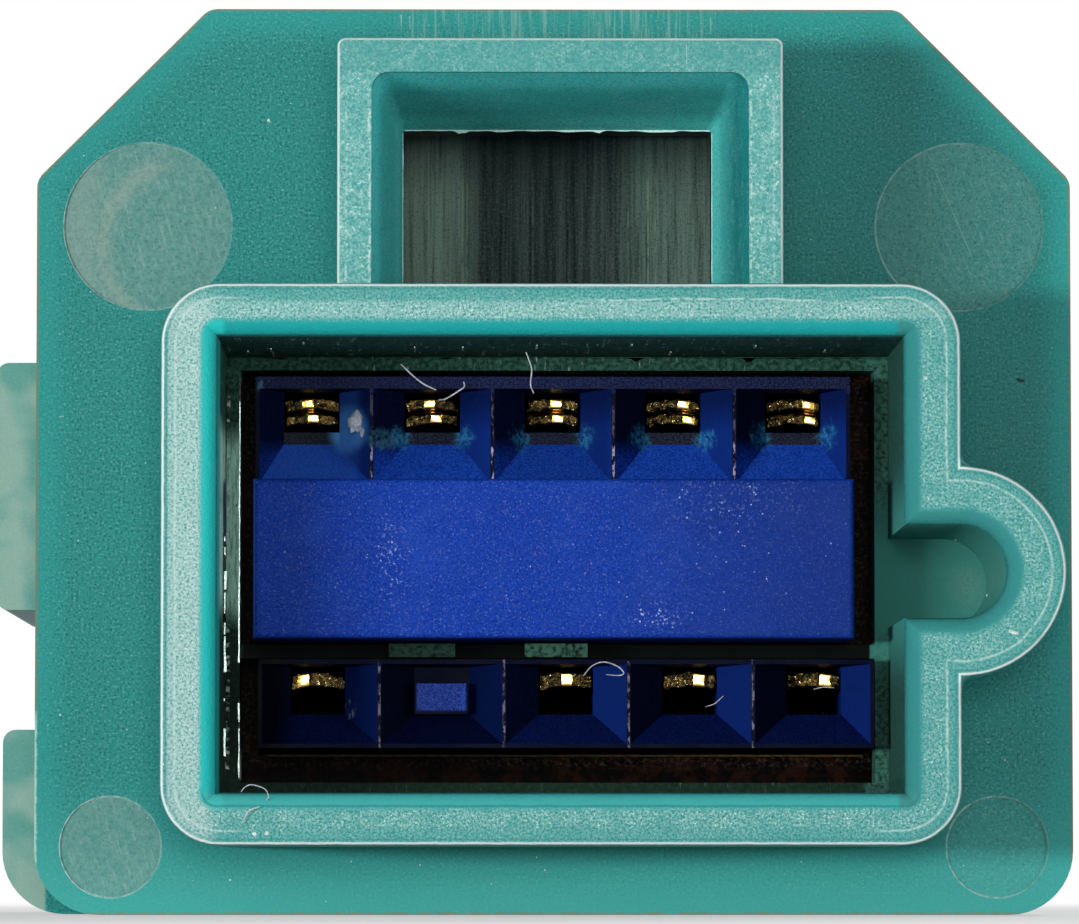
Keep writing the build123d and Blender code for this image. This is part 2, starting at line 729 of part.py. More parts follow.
head_y = bridge_y - dome_height
with BuildPart() as plunger:
    crossbar = box_section(centred(0, crossbar_width), centred(plunger_z, crossbar_height))
    prism(plunger_section(), crossbar_back_y, button_inner_y)
    prism(crossbar, crossbar_back_y, crossbar_front_y)
    return_bore = round_section((0, plunger_z), return_bore_radius)
    prism(return_bore, crossbar_back_y, crossbar_back_y + return_bore_depth, Mode.SUBTRACT)
    with BuildSketch(Plane.XY.offset(plunger_top_z)):
        add(cam_track())
    extrude(amount=-cam_depth, mode=Mode.SUBTRACT)
    for side in (-1, 1):
        centre = (side * bridge_x, plunger_z)
        pocket_floor_y = crossbar_back_y + bridge_pocket_depth
        prism(round_section(centre, bridge_pocket_radius), crossbar_back_y, pocket_floor_y, Mode.SUBTRACT)
        prism(round_section(centre, guide_radius), head_y, pocket_floor_y)
        prism(round_section(centre, guide_head_radius), head_y, bridge_y)
plunger.part.label = "plunger"


# ---------------------------------------------------------------- moving contacts
def contact_bridge(label, x):
    """A bridging strip with two contact domes, on the guide pin of the plunger's crossbar."""
    with BuildPart() as part:
        bar = box_section(centred(x, bridge["width"]), centred(plunger_z, bridge["height"]))
        prism(bar, bridge_y, bridge_y + bridge["thickness"])
        fillet(part.edges().filter_by(Axis.Y), bridge["corner"])
        for step in bridge_steps:
            prism(round_section((x + step, plunger_z), dome_radius), bridge_y - dome_height, bridge_y)
        fillet(part.faces().sort_by(Axis.Y)[0:2].edges(), dome_round)
        guide_hole = round_section((x, plunger_z), guide_radius + slip_gap)
        prism(guide_hole, bridge_y, bridge_y + bridge["thickness"], Mode.SUBTRACT)
    part.part.label = label
    return part.part


def coil_spring(label, centre, y_from, y_to, size):
    """A round-wire compression spring along Y, between two Y values."""
    height = y_to - y_from - 2 * size["wire"]
    start = (centre[0], y_from + size["wire"], centre[1])
    with BuildPart() as part:
        with BuildLine() as path:
            Helix(height / size["turns"], height, size["radius"], center=start, direction=(0, 1, 0))
        with BuildSketch(Plane(origin=path.line @ 0, z_dir=path.line % 0)):
            Circle(size["wire"])
        sweep(is_frenet=True)
    part.part.label = label
    return part.part


bridges = []
springs = []
bridge_spring_back_y = bridge_y + bridge["thickness"] + snug_gap
bridge_spring_front_y = crossbar_back_y + bridge_pocket_depth - snug_gap
for side_name, side in (("left", -1), ("right", 1)):
    centre = (side * bridge_x, plunger_z)
    bridges.append(contact_bridge(f"contact_bridge_{side_name}", side * bridge_x))
    springs.append(
        coil_spring(
            f"bridge_spring_{side_name}", centre, bridge_spring_back_y, bridge_spring_front_y, bridge_spring
        )
    )
return_spring_front_y = crossbar_back_y + return_bore_depth - snug_gap
springs.append(
    coil_spring(
        "return_spring", (0, plunger_z), board_face_y + snug_gap, return_spring_front_y, return_spring
    )
)


# ---------------------------------------------------------------- latch pin and its spring
with BuildPart() as latch_pin:
    with BuildLine() as pin_path:
        FilletPolyline(
            (0, pin_pivot_y, pin_z + pin_leg),
            (0, pin_pivot_y, pin_z),
            (0, pin_tip_y, pin_z),
            (0, pin_tip_y, plunger_top_z - cam_depth + slip_gap),
            radius=pin_bend,
        )
    with BuildSketch(Plane(origin=pin_path.line @ 0, z_dir=pin_path.line % 0)):
        Circle(pin_radius)
    sweep()
latch_pin.part.label = "latch_pin"

leaf_y = bulkhead_front_y + boss["length"]
with BuildPart() as pin_leaf_spring:
    leaf_bottom_z = pin_z + pin_radius + snug_gap / 2
    with BuildSketch(Plane.YZ.offset(-leaf_spring["width"] / 2)):
        with BuildLine():
            Polyline(
                (leaf_y, boss_span[1]),
                (leaf_y, leaf_bottom_z),
                (leaf_y + leaf_spring["length"], leaf_bottom_z),
                (leaf_y + leaf_spring["length"], leaf_bottom_z + leaf_spring["thickness"]),
                (leaf_y + leaf_spring["thickness"], leaf_bottom_z + leaf_spring["thickness"]),
                (leaf_y + leaf_spring["thickness"], boss_span[1]),
                close=True,
            )
        make_face()
    extrude(amount=leaf_spring["width"])
pin_leaf_spring.part.label = "pin_leaf_spring"


# ---------------------------------------------------------------- files
pieces = [
    rear_housing.part,
    upper_terminal_block.part,
    lower_terminal_block.part,
    *terminals,
    inner_carrier.part,
    contact_board.part,
    fixed_contact_rivets.part,
    indicator_lamp.part,
    series_resistor.part,
    front_housing.part,
    light_pipe.part,
    pin_leaf_spring.part,
    latch_pin.part,
    button_cap.part,
    warning_symbol.part,
    diffuser.part,
    plunger.part,
    *bridges,
    *springs,
]

os.makedirs("parts", exist_ok=True)
for piece in pieces:
    export_step(piece, f"parts/{piece.label}.step")
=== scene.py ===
import math
import random
from types import SimpleNamespace

import bmesh
import bpy
from mathutils import Matrix, Vector, noise

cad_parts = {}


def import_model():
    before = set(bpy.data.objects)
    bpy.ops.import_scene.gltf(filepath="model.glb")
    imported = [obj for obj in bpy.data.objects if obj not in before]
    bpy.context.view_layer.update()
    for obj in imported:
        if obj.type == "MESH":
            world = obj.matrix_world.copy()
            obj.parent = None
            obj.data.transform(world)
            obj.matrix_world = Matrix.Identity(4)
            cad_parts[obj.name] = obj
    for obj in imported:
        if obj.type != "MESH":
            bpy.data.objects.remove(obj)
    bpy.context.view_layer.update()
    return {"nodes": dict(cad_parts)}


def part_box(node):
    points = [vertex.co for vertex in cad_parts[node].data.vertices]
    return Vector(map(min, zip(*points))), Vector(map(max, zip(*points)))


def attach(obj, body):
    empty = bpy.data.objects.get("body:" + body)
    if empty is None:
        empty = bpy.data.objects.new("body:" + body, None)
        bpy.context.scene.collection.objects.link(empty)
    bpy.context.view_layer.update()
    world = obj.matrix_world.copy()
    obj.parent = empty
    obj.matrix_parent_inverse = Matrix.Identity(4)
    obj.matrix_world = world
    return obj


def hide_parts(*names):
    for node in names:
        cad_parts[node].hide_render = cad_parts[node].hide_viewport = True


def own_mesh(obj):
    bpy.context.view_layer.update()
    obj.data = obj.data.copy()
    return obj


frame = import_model()
nodes = frame["nodes"]
MM = 0.001
random.seed(7)
noise.seed_set(7)  # noise_vector is otherwise seeded from the clock


def srgb(r, g, b):
    """An 8-bit sRGB colour as linear RGBA."""
    def linear(v):
        v /= 255
        return v / 12.92 if v <= 0.04045 else ((v + 0.055) / 1.055) ** 2.4
    return (linear(r), linear(g), linear(b), 1.0)


def box_mm(node):
    """Lowest and highest corner of a CAD node, in millimetres."""
    low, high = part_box(node)
    return low / MM, high / MM


# Measures in millimetres, in the CAD frame
case_high = box_mm("front_housing")[1]
block_low = box_mm("upper_terminal_block")[0]
CASE_HALF, CASE_TOP, CORNER_CUT = case_high.x, case_high.z, 5.1
RIM_Y = box_mm("rear_housing")[0].y  # the port's front edge
PORT_X, PORT_Z = 0.1, 10.01
PORT_HALF, PORT_RADIUS = (11.4, 8.01), 1.7
CAVITY_HALF = (9.8, 6.51)
CAVITY_LEFT, CAVITY_RIGHT = PORT_X - 9.8, 9.88
FLASH_LEFT = -9.68  # where the flash along the cavity's mouth begins
CAVITY_BOTTOM, CAVITY_TOP = 3.52, 16.5
LEDGE = 0.4  # width of the step along the cavity's left wall
KEY_X, KEY_Z = 11.5, 9.8
KEY_OUTER, KEY_INNER = 3.0, 1.32
POCKET_HALF, POCKET_TOP, POCKET_Y = 6.43, 25.25, -6.5
POCKET_WALL = 1.0
CATCH_LEFT, CATCH_RIGHT = -4.5, 4.7  # sides of the window in the latch pocket
CATCH_LOW, CATCH_TOP = 18.1, 23.29
MARKS = (  # x, z and radius of an ejector mark, with how strong its face and the painted highlight on its ring show
    (-12.05, 20.4, 2.5, 0.95, 0.6),
    (12.05, 20.4, 2.5, 0.35, 0.5),
    (-13.1, 2.0, 1.5, 0.95, 1.0),
    (13.1, 2.0, 1.5, 0.1, 0.7),
)
ROW_Y = -1.5  # front of the dividers between cells
BAR_Y = block_low.y
UPPER_PITCH, LOWER_PITCH = 3.56, 3.66
UPPER_X, LOWER_X = -0.05, 0.34
UPPER_HOLE = (1.65, 13.88, 15.41)  # width, bottom and top of a contact hole
LOWER_HOLE = (1.62, 5.9, 7.3)


# ---------------------------------------------------------------- material graphs
class Value:
    """One output of a node, with the sums that masks are made of."""

    def __init__(self, graph, socket):
        self.graph, self.socket = graph, socket

    def __add__(self, other):
        return self.graph.math("ADD", self, other)

    def __radd__(self, other):
        return self.graph.math("ADD", other, self)

    def __sub__(self, other):
        return self.graph.math("SUBTRACT", self, other)

    def __rsub__(self, other):
        return self.graph.math("SUBTRACT", other, self)

    def __mul__(self, other):
        return self.graph.math("MULTIPLY", self, other)

    def __rmul__(self, other):
        return self.graph.math("MULTIPLY", other, self)

    def __abs__(self):
        return self.graph.math("ABSOLUTE", self)


class Graph:
    """A material's node tree, with a short call for each kind of node it needs."""

    def __init__(self, name):
        self.material = bpy.data.materials.new(name)
        self.material.use_nodes = True
        self.tree = self.material.node_tree
        self.tree.nodes.clear()
        coord = self.tree.nodes.new("ShaderNodeTexCoord")
        self.p = self.scaled(coord.outputs["Object"], 1 / MM)
        parts = self.node("ShaderNodeSeparateXYZ", Vector=self.p)
        self.x, self.y, self.z = (Value(self, out) for out in parts.outputs)
        facing = self.node("ShaderNodeSeparateXYZ", Vector=coord.outputs["Normal"])
        self.nx, self.ny, self.nz = (Value(self, out) for out in facing.outputs)

    def node(self, kind, settings=None, **inputs):
        made = self.tree.nodes.new(kind)
        for key, value in (settings or {}).items():
            setattr(made, key, value)
        for key, value in inputs.items():
            self.feed(made.inputs[key.replace("_", " ")], value)
        return made

    def feed(self, socket, value):
        """Links or sets an input. Three numbers are an 8-bit sRGB colour."""
        if isinstance(value, Value):
            value = value.socket
        if isinstance(value, bpy.types.NodeSocket):
            self.tree.links.new(value, socket)
        elif isinstance(value, tuple):
            socket.default_value = srgb(*value)
        else:
            socket.default_value = value

    def scaled(self, vector, factor):
        made = self.tree.nodes.new("ShaderNodeVectorMath")
        made.operation = "SCALE"
        self.feed(made.inputs[0], vector)
        made.inputs["Scale"].default_value = factor
        return made.outputs[0]

    def stretched(self, x=1.0, y=1.0, z=1.0, turn=(0, 0, 0)):
        """Object coordinates in millimetres, scaled along each axis after a turn in degrees."""
        made = self.node("ShaderNodeMapping", {"vector_type": "POINT"}, Vector=self.p)
        made.inputs["Rotation"].default_value = [math.radians(a) for a in turn]
        again = self.node("ShaderNodeMapping", {"vector_type": "POINT"}, Vector=made.outputs[0])
        again.inputs["Scale"].default_value = (x, y, z)
        return again.outputs[0]

    def math(self, operation, a, b=0.0, c=0.0):
        made = self.tree.nodes.new("ShaderNodeMath")
        made.operation = operation
        for socket, value in zip(made.inputs, (a, b, c)):
            self.feed(socket, value)
        return Value(self, made.outputs[0])

    def low(self, a, b):
        return self.math("MINIMUM", a, b)

    def high(self, a, b):
        return self.math("MAXIMUM", a, b)

    def step(self, value, start, end, to_low=0.0, to_high=1.0):
        """Smooth ramp from to_low at start to to_high at end."""
        made = self.node("ShaderNodeMapRange", {"interpolation_type": "SMOOTHSTEP"}, Value=value)
        numbers = {"From Min": start, "From Max": end, "To Min": to_low, "To Max": to_high}
        for key, number in numbers.items():
            made.inputs[key].default_value = number
        return Value(self, made.outputs[0])

    def band(self, value, start, end, soft):
        """1 between start and end, 0 outside, with soft edges."""
        return self.step(value, start - soft, start + soft) * self.step(value, end + soft, end - soft)

    def noise(self, scale, detail=2.0, rough=0.5, vector=None, distortion=0.0):
        made = self.node("ShaderNodeTexNoise", Vector=vector or self.p, Scale=scale, Detail=detail)
        made.inputs["Roughness"].default_value = rough
        made.inputs["Distortion"].default_value = distortion
        return Value(self, made.outputs["Fac"])

    def mix(self, factor, a, b, blend="MIX"):
        made = self.node("ShaderNodeMix", {"data_type": "RGBA", "blend_type": blend})
        self.feed(made.inputs[0], factor)
        self.feed(made.inputs[6], a)
        self.feed(made.inputs[7], b)
        return Value(self, made.outputs[2])

    def layers(self, base, *coats):
        """Lays colours over a base, each by its own mask."""
        for mask, colour in coats:
            base = self.mix(mask, base, colour)
        return base

    def lengths(self, a, b):
        return self.math("SQRT", a * a + b * b)

    def disc(self, x, z):
        """Distance in the XZ plane from a point."""
        return self.lengths(self.x - x, self.z - z)

    def oval(self, x, z, tall, wide=None):
        """Distance from a point, with z and, if wanted, x stretched first."""
        across = self.x - x
        if wide is not None:
            across = across * wide
        return self.lengths(across, (self.z - z) * tall)

    def rectangle(self, x, z, half, radius):
        """Signed distance in the XZ plane to a rounded rectangle, negative inside."""
        reach_x = abs(self.x - x) - (half[0] - radius)
        reach_z = abs(self.z - z) - (half[1] - radius)
        outside = self.lengths(self.high(reach_x, 0.0), self.high(reach_z, 0.0))
        inside = self.low(self.high(reach_x, reach_z), 0.0)
        return outside + inside - radius

    def bump(self, height, distance, strength=1.0, below=None):
        made = self.node("ShaderNodeBump", Height=height)
        made.inputs["Distance"].default_value = distance * MM
        made.inputs["Strength"].default_value = strength
        if below is not None:
            self.feed(made.inputs["Normal"], below)
        return made.outputs[0]

    def shader(self, colour, roughness, normal=None, **fixed):
        """The Principled shader that ends the graph."""
        made = self.tree.nodes.new("ShaderNodeBsdfPrincipled")
        self.feed(made.inputs["Base Color"], colour)
        self.feed(made.inputs["Roughness"], roughness)
        if normal is not None:
            self.feed(made.inputs["Normal"], normal)
        for key, value in fixed.items():
            made.inputs[key.replace("_", " ")].default_value = value
        out = self.tree.nodes.new("ShaderNodeOutputMaterial")
        self.tree.links.new(made.outputs[0], out.inputs["Surface"])
        return self.material


def teal_zones(g):
    """Signed distances to the outlines, the zones between them, and the noises that zones share."""
    rear_facing = g.step(g.ny, -0.7, -0.95)
    outer = g.low(g.rectangle(PORT_X, PORT_Z, PORT_HALF, PORT_RADIUS), g.disc(KEY_X, KEY_Z) - KEY_OUTER)
    channel_end = g.high(g.x - KEY_X, PORT_X - g.x)
    channel = g.low(g.disc(KEY_X, KEY_Z) - KEY_INNER, g.high(abs(g.z - KEY_Z) - KEY_INNER, channel_end))
    inner = g.low(g.rectangle(PORT_X, PORT_Z, CAVITY_HALF, 0.01), channel)
    pocket_centre_z = POCKET_TOP - 5
    pocket_outer = g.rectangle(PORT_X, pocket_centre_z, (POCKET_HALF, 5.0), 0.25)
    pocket_inner = g.rectangle(
        PORT_X, pocket_centre_z - POCKET_WALL, (POCKET_HALF - POCKET_WALL, 5.0), 0.5
    )
    side = g.high(abs(g.x) - CASE_HALF, g.high(g.z - CASE_TOP, g.z * -1.0))
    cut = (abs(g.x) + g.z - (CASE_HALF + CASE_TOP - CORNER_CUT)) * math.sqrt(0.5)
    outline = g.high(side, cut)

    plate = g.step(g.y, -0.4, -0.15) * g.step(g.y, 0.3, 0.2) * rear_facing * g.step(outer, -0.02, 0.02)
    port_rim = g.step(g.y, RIM_Y + 0.6, RIM_Y + 0.3) * g.step(g.ny, -0.2, -0.5)
    pocket_rim = (
        g.band(g.y, POCKET_Y - 0.2, POCKET_Y + 0.2, 0.1) * g.step(g.ny, -0.2, -0.5)
        * g.step(outer, -0.02, 0.02)
    )
    cavity = g.step(inner, 0.08, 0.02) * g.step(g.y, RIM_Y + 0.35, RIM_Y + 0.75)
    in_pocket = (
        g.step(pocket_inner, 0.1, 0.0) * g.step(outer, -0.02, 0.05)
        * g.step(g.y, POCKET_Y + 0.02, POCKET_Y + 0.2) * g.step(g.y, 1.8, 1.7)
    )
    lug = g.step(g.x, -CASE_HALF + 0.02, -CASE_HALF - 0.1) * rear_facing

    mottle = g.noise(0.55, 3.0, 0.6)
    fine = g.noise(7.0, 3.0, 0.65)
    grit = g.noise(13.0, 2.0, 0.7)
    dots = g.noise(13.0, 3.0, 0.75)
    specks = g.noise(15.0, 2.0, 0.65)
    return SimpleNamespace(
        outer=outer, inner=inner, pocket_outer=pocket_outer, pocket_inner=pocket_inner, outline=outline,
        plate=plate, port_rim=port_rim, pocket_rim=pocket_rim, cavity=cavity, in_pocket=in_pocket, lug=lug,
        mottle=mottle, fine=fine, grit=grit, dots=dots, specks=specks,
    )


def flange_colour(g, at):
    """Mottled teal, with painted light towards the flange's edges and painted shade near the port, and drag
    lines above the latch pocket.
    """
    teal = g.mix(at.mottle, (24, 124, 120), (44, 142, 137))
    teal = g.layers(
        teal,
        (g.step(at.fine, 0.35, 0.7) * 0.3, (70, 152, 145)),
        (g.step(at.grit, 0.55, 0.66) * 0.85, (4, 78, 78)),
        (g.step(at.grit, 0.44, 0.34) * 0.75, (104, 176, 168)),
    )
    # Painted light: brighter within 1.2 mm of the flange's outline and towards its bottom edge
    painted_edge_light = at.plate * g.step(at.outline, -1.2, -0.1)
    painted_low_light = at.plate * g.step(g.z, 4.8, 0.4)
    # Painted shade: darker in the upper right and close round the port and the latch pocket
    painted_shade_upper_right = at.plate * g.step(g.x, 7.0, 11.0) * g.step(g.z, 8.0, 12.0) * (1.0 - painted_edge_light)
    painted_shade_near_port = (
        at.plate * g.step(g.low(at.outer, g.high(at.pocket_outer, 0.0)), 1.4, 0.0) * g.step(g.z, 0.8, 2.4)
    )
    ragged = (g.noise(3.0, 4.0, 0.8) - 0.5) * 0.22
    fringe = at.plate * g.step(at.outline + ragged, -0.1, -0.02)
    by_lug = g.step(g.x, -13.0, -13.8) * g.step(g.z, 6.2, 5.6) * g.step(g.z, 0.15, 0.3)
    teal = g.layers(
        teal,
        (painted_edge_light * 0.5, (44, 158, 152)),
        (painted_low_light * 0.6, (70, 172, 165)),
        (painted_shade_upper_right * 0.3, (20, 88, 88)),
        (painted_shade_near_port * 0.25, (18, 92, 90)),
        (fringe * 0.75, g.mix(by_lug, (128, 122, 90), (196, 226, 218))),
        (at.lug * 0.7, g.mix(g.step(g.noise(0.5, 2.0), 0.4, 0.6), (112, 166, 154), (166, 192, 176))),
    )
    # Drag lines on the flange above the latch pocket
    drag = g.noise(9.0, 3.0, 0.7, g.stretched(1.0, 0.04, 0.04))
    drag_zone = at.plate * g.band(g.x, -4.4, 4.7, 0.5) * g.step(g.z, POCKET_TOP - 0.2, POCKET_TOP)
    teal = g.mix(drag_zone * g.step(drag, 0.46, 0.66) * 0.42, teal, (150, 188, 178))
    return teal


def rim_colours(g, at):
    """The eroded rims of port and pocket: speckled, with a painted highlight at the outer edge, and
    saturated on the lead-in, with painted light and shade there.
    """
    ripple = g.noise(1.1, 2.0)
    clumps = g.step(g.noise(2.2, 2.0, 0.6), 0.35, 0.62, 0.35, 1.0)
    well_in = clumps * g.step(at.outer, -0.35, -0.65, 0.35, 1.0) * g.step(g.z, 17.5, 17.3, 0.75, 1.0)
    well_in = g.high(well_in, g.step(g.z, 18.1, 18.2) * clumps)
    well_in = well_in * g.step(g.x, 8.8, 9.6, 1.0, 0.8)
    rim = g.mix(g.step(at.dots, 0.4, 0.6) * (0.35 + well_in * 0.65), (50, 148, 144), (160, 208, 202))
    rim = g.layers(
        rim,
        (ripple * 0.3, (82, 170, 165)),
        (g.band(g.z, 17.02, 17.5, 0.06) * g.step(at.dots, 0.3, 0.6) * 0.4, (186, 222, 218)),
        (g.step(at.specks, 0.58, 0.66) * well_in * 0.95, (234, 244, 241)),
        (g.step(at.specks, 0.42, 0.34) * 0.85, (24, 112, 110)),
    )
    # Painted light: paler speckles on the left of the port rim, where the light falls
    lit_left_pale = g.step(g.x, -9.6, -10.1) * g.step(g.z, 18.2, 17.0) * g.step(g.x, -11.15, -11.05)
    rim = g.mix(lit_left_pale * g.step(at.dots, 0.3, 0.6) * 0.6, rim, (206, 228, 224))
    lead_in = at.port_rim * g.step(at.inner, 0.56, 0.32)
    # Painted light and shade on the lead-in: paler along the bottom, which faces up, with a dark line in
    # it, duller on the right and brighter on the left
    lit_lead_low = g.step(g.z, 3.7, 3.3) * lead_in
    shaded_lead_side = g.step(g.x, 9.6, 9.8) * lead_in
    # Painted highlight: a near-white line along the port rim's outer edge, with painted shade as a dark
    # line just outside it
    edge = g.band(at.outer + g.noise(2.0, 2.0) * 0.03, -0.08, -0.02, 0.02)
    border_shade = g.step(at.outer, -0.03, 0.0)
    groove = g.band(at.outer + g.noise(2.0, 2.0) * 0.03, -0.18, -0.13, 0.03)
    ridge = g.band(at.outer + g.noise(1.2, 2.0) * 0.1, -0.4, -0.34, 0.03) * g.step(at.fine, 0.3, 0.6)
    ridge = ridge * g.high(g.step(g.x, 8.5, 9.5), g.step(g.x, -8.5, -9.5))
    top_line = g.z - 17.66 + g.noise(0.6, 3.0) * 0.4
    streak = (
        g.band(top_line, 0.03, 0.08, 0.03) * g.band(g.x, 0.6, 7.8, 0.5)
        * g.step(g.noise(3.0, 3.0, 0.7), 0.4, 0.56) * 0.7
    )
    rim_colour = g.layers(
        rim,
        (ridge * 0.7, (206, 230, 226)),
        (groove * 0.5, (44, 134, 132)),
        (lead_in, (30, 162, 162)),
        (lead_in * g.step(g.x, -9.4, -9.6) * 0.8, (44, 200, 196)),
        (lit_lead_low * 0.6, (84, 182, 176)),
        (lit_lead_low * g.band(at.inner + g.noise(1.6, 2.0) * 0.05, 0.38, 0.44, 0.03) * 0.6, (14, 96, 98)),
        (shaded_lead_side * 0.6, (66, 122, 118)),
        (border_shade * 0.75, (20, 92, 92)),
        (edge * 0.95, (232, 244, 242)),
        (streak, (214, 236, 232)),
    )
    # Painted highlight: a pale line along the latch pocket rim's outer edge
    pocket_edge_highlight = g.band(at.pocket_outer + g.noise(2.2, 2.0) * 0.02, -0.07, -0.01, 0.02)
    shaken = (g.noise(2.5, 2.0) - 0.5) * 0.12
    dotted = (
        g.high(
            g.band(at.pocket_inner + shaken, 0.03, 0.08, 0.03),
            g.band(at.pocket_outer + shaken, -0.3, -0.25, 0.03) * 0.6,
        ) * g.step(g.noise(6.0, 2.0), 0.46, 0.56) * g.step(g.z, 24.0, 23.6)
    )
    top_band = g.step(g.z, 24.1, 24.3)
    pocket_colour = g.layers(
        rim,
        (0.3, (118, 192, 186)),
        (top_band * 0.5, (66, 150, 146)),
        (dotted * 0.7, (214, 236, 232)),
        (pocket_edge_highlight * 0.9, (222, 238, 236)),
    )
    return rim_colour, pocket_colour


def pocket_wall(g, at):
    """The latch pocket's walls, with painted light and shade: paler in the middle, darker at mid depth and
    on the right wall, and dark where they end.
    """
    depth = g.step(g.y, POCKET_Y, 0.0)
    wall_base = g.mix(depth, (60, 220, 222), (86, 222, 216))
    low_light = g.step(g.y, -5.6, -4.0) * g.step(g.y, -0.6, -2.2)
    wall = g.mix(low_light * 0.55, wall_base, (44, 140, 140))
    wall = g.mix(g.step(at.grit, 0.45, 0.7) * 0.3, wall, (20, 118, 118))
    # Painted shade on the right wall, and painted light on the other walls away from mid depth
    shaded_wall_right = g.step(g.x, 4.9, 5.3)
    wall = g.mix(shaded_wall_right * 0.75, wall, (16, 108, 108))
    lit_wall_mid = g.step(g.x, 5.3, 4.9) * (1.0 - low_light * 0.7)
    wall = g.layers(
        wall,
        (lit_wall_mid * 0.4, (120, 236, 230)),
        (g.step(at.specks, 0.57, 0.64) * g.step(g.noise(1.5, 2.0), 0.4, 0.6) * 0.6, (186, 240, 236)),
        (g.step(at.dots, 0.5, 0.62) * 0.55, (10, 104, 106)),
    )
    # Painted shade in the upper corners
    shaded_upper_corner = g.step(g.z, 22.8, 24.0) * g.step(abs(g.x - PORT_X), 4.2, 5.3) * g.step(g.y, -3.5, -0.5)
    wall = g.mix(shaded_upper_corner * 0.45, wall, (16, 104, 106))
    # Painted shade: dark where the walls end at the back of the pocket
    shaded_reveal = g.step(g.y, 0.01, 0.06)
    wall = g.mix(shaded_reveal, wall, (12, 30, 30))
    return wall


def cavity_colour(g, at):
    """The cavity, painted dark as its shade, with its ledge, key channel and divider rib."""
    dashes = g.noise(10.0, 2.0, 0.6, g.stretched(1.0, 0.05, 0.16))
    spotted = g.step(g.noise(1.4, 2.0, 0.6), 0.44, 0.6)
    # Painted shade: the cavity is coloured much darker than the flange, and darker still at its floor and
    # low on the left ledge
    dark = g.mix(g.step(at.fine, 0.35, 0.7), (20, 52, 42), (62, 106, 90))
    dark = g.mix(g.step(dashes, 0.6, 0.68) * spotted * g.step(g.x, 9.0, 8.6) * 0.7, dark, (168, 196, 178))
    shaded_low_floor = g.high(g.step(g.z, 3.95, 3.9), g.step(g.z, 8.6, 8.0) * g.step(g.x, -9.0, -9.1))
    dark = g.mix(shaded_low_floor * 0.8, dark, g.mix(at.grit, (6, 16, 12), (30, 46, 38)))
    # The left ledge: painted light on its upper middle, and painted glints in a broken line along either
    # side
    on_left = g.step(g.x, -9.05, -9.1)
    lit_middle_z = g.band(g.z, 8.9, 14.1, 0.5)
    patchy = g.step(g.noise(11.0, 3.0, 0.8, g.stretched(1.0, 0.3, 0.12)), 0.36, 0.58)
    dark = g.mix(on_left * lit_middle_z * (0.4 + patchy * 0.6), dark, (196, 252, 230))
    # Painted light on the left wall near the port's mouth
    lit_wall_mouth = g.step(g.nx, 0.5, 0.8) * g.step(g.x, -9.4, -9.6) * g.step(g.y, -4.8, -6.2)
    dark = g.mix(lit_wall_mouth * 0.9, dark, (40, 176, 170))
    dark = g.mix(g.step(g.x, 9.1, 9.3) * g.step(at.fine, 0.3, 0.6) * 0.35, dark, (82, 144, 132))
    # Painted shade on the right wall
    shaded_right_side = g.step(g.nx, -0.3, -0.7) * g.step(g.x, 9.4, 9.7)
    dark = g.mix(shaded_right_side * 0.55, dark, g.mix(g.step(at.dots, 0.4, 0.6), (14, 44, 38), (46, 92, 82)))
    glint_breaks = g.step(g.noise(2.6, 3.0, 0.7, g.stretched(0.6, 0.6, 0.9)), 0.5, 0.6)
    gaps = g.noise(1.7, 2.0, 0.6, g.stretched(0.15, 0.15, 1.0))
    inner_glint = (
        g.step(g.x, -9.58, -9.62) * g.step(g.y, -1.0, -0.6) * glint_breaks * g.band(g.z, 4.1, 15.8, 0.03)
        * g.step(gaps, 0.4, 0.5) * 0.7
    )
    outer_glint = (
        0.5 * g.band(g.z, 4.0, 15.9, 0.03) * g.step(g.x, -9.34, -9.28) * on_left * g.step(g.y, -0.3, -0.1)
        * g.high(g.step(g.z, 7.5, 7.7), g.step(g.z, 6.4, 6.2))
        * g.step(g.noise(7.0, 2.0), 0.3, 0.55, 0.2, 1.0) * (1.0 - g.band(g.z, 7.3, 8.1, 0.04))
    )
    dark = g.mix(g.high(inner_glint, outer_glint), dark, (248, 255, 250))
    key_floor = g.step(g.disc(KEY_X - 0.4, KEY_Z), 3.6, 1.6)
    dark = g.mix(key_floor * 0.9, dark, (72, 152, 142))
    haze = g.step(g.disc(12.3, 9.75), 0.9, 0.1) * g.step(at.grit, 0.4, 0.6) * 0.5
    dark = g.mix(haze, dark, (128, 152, 136))
    # Painted shade: the divider rib behind the blocks is dark, apart from its two pads
    window = g.band(g.x, -9.2, 9.35, 0.03) * g.band(g.z, 3.95, 16.05, 0.04)
    on_pad = g.step(g.y, -1.0, -1.05) * g.step(at.fine, 0.3, 0.6)
    rib = g.mix(on_pad * g.step(g.x, -2.5, -1.5, 0.35, 0.9), (7, 13, 11), (62, 104, 88))
    dark = g.mix(window, dark, rib)
    # Painted shade at the rib's right end
    shaded_rib_end = g.band(g.x, 9.25, 9.74, 0.02) * g.band(g.z, 7.2, 8.8, 0.05) * g.step(g.y, -0.2, -0.5)
    dark = g.mix(shaded_rib_end * 0.85, dark, (8, 20, 17))
    return dark


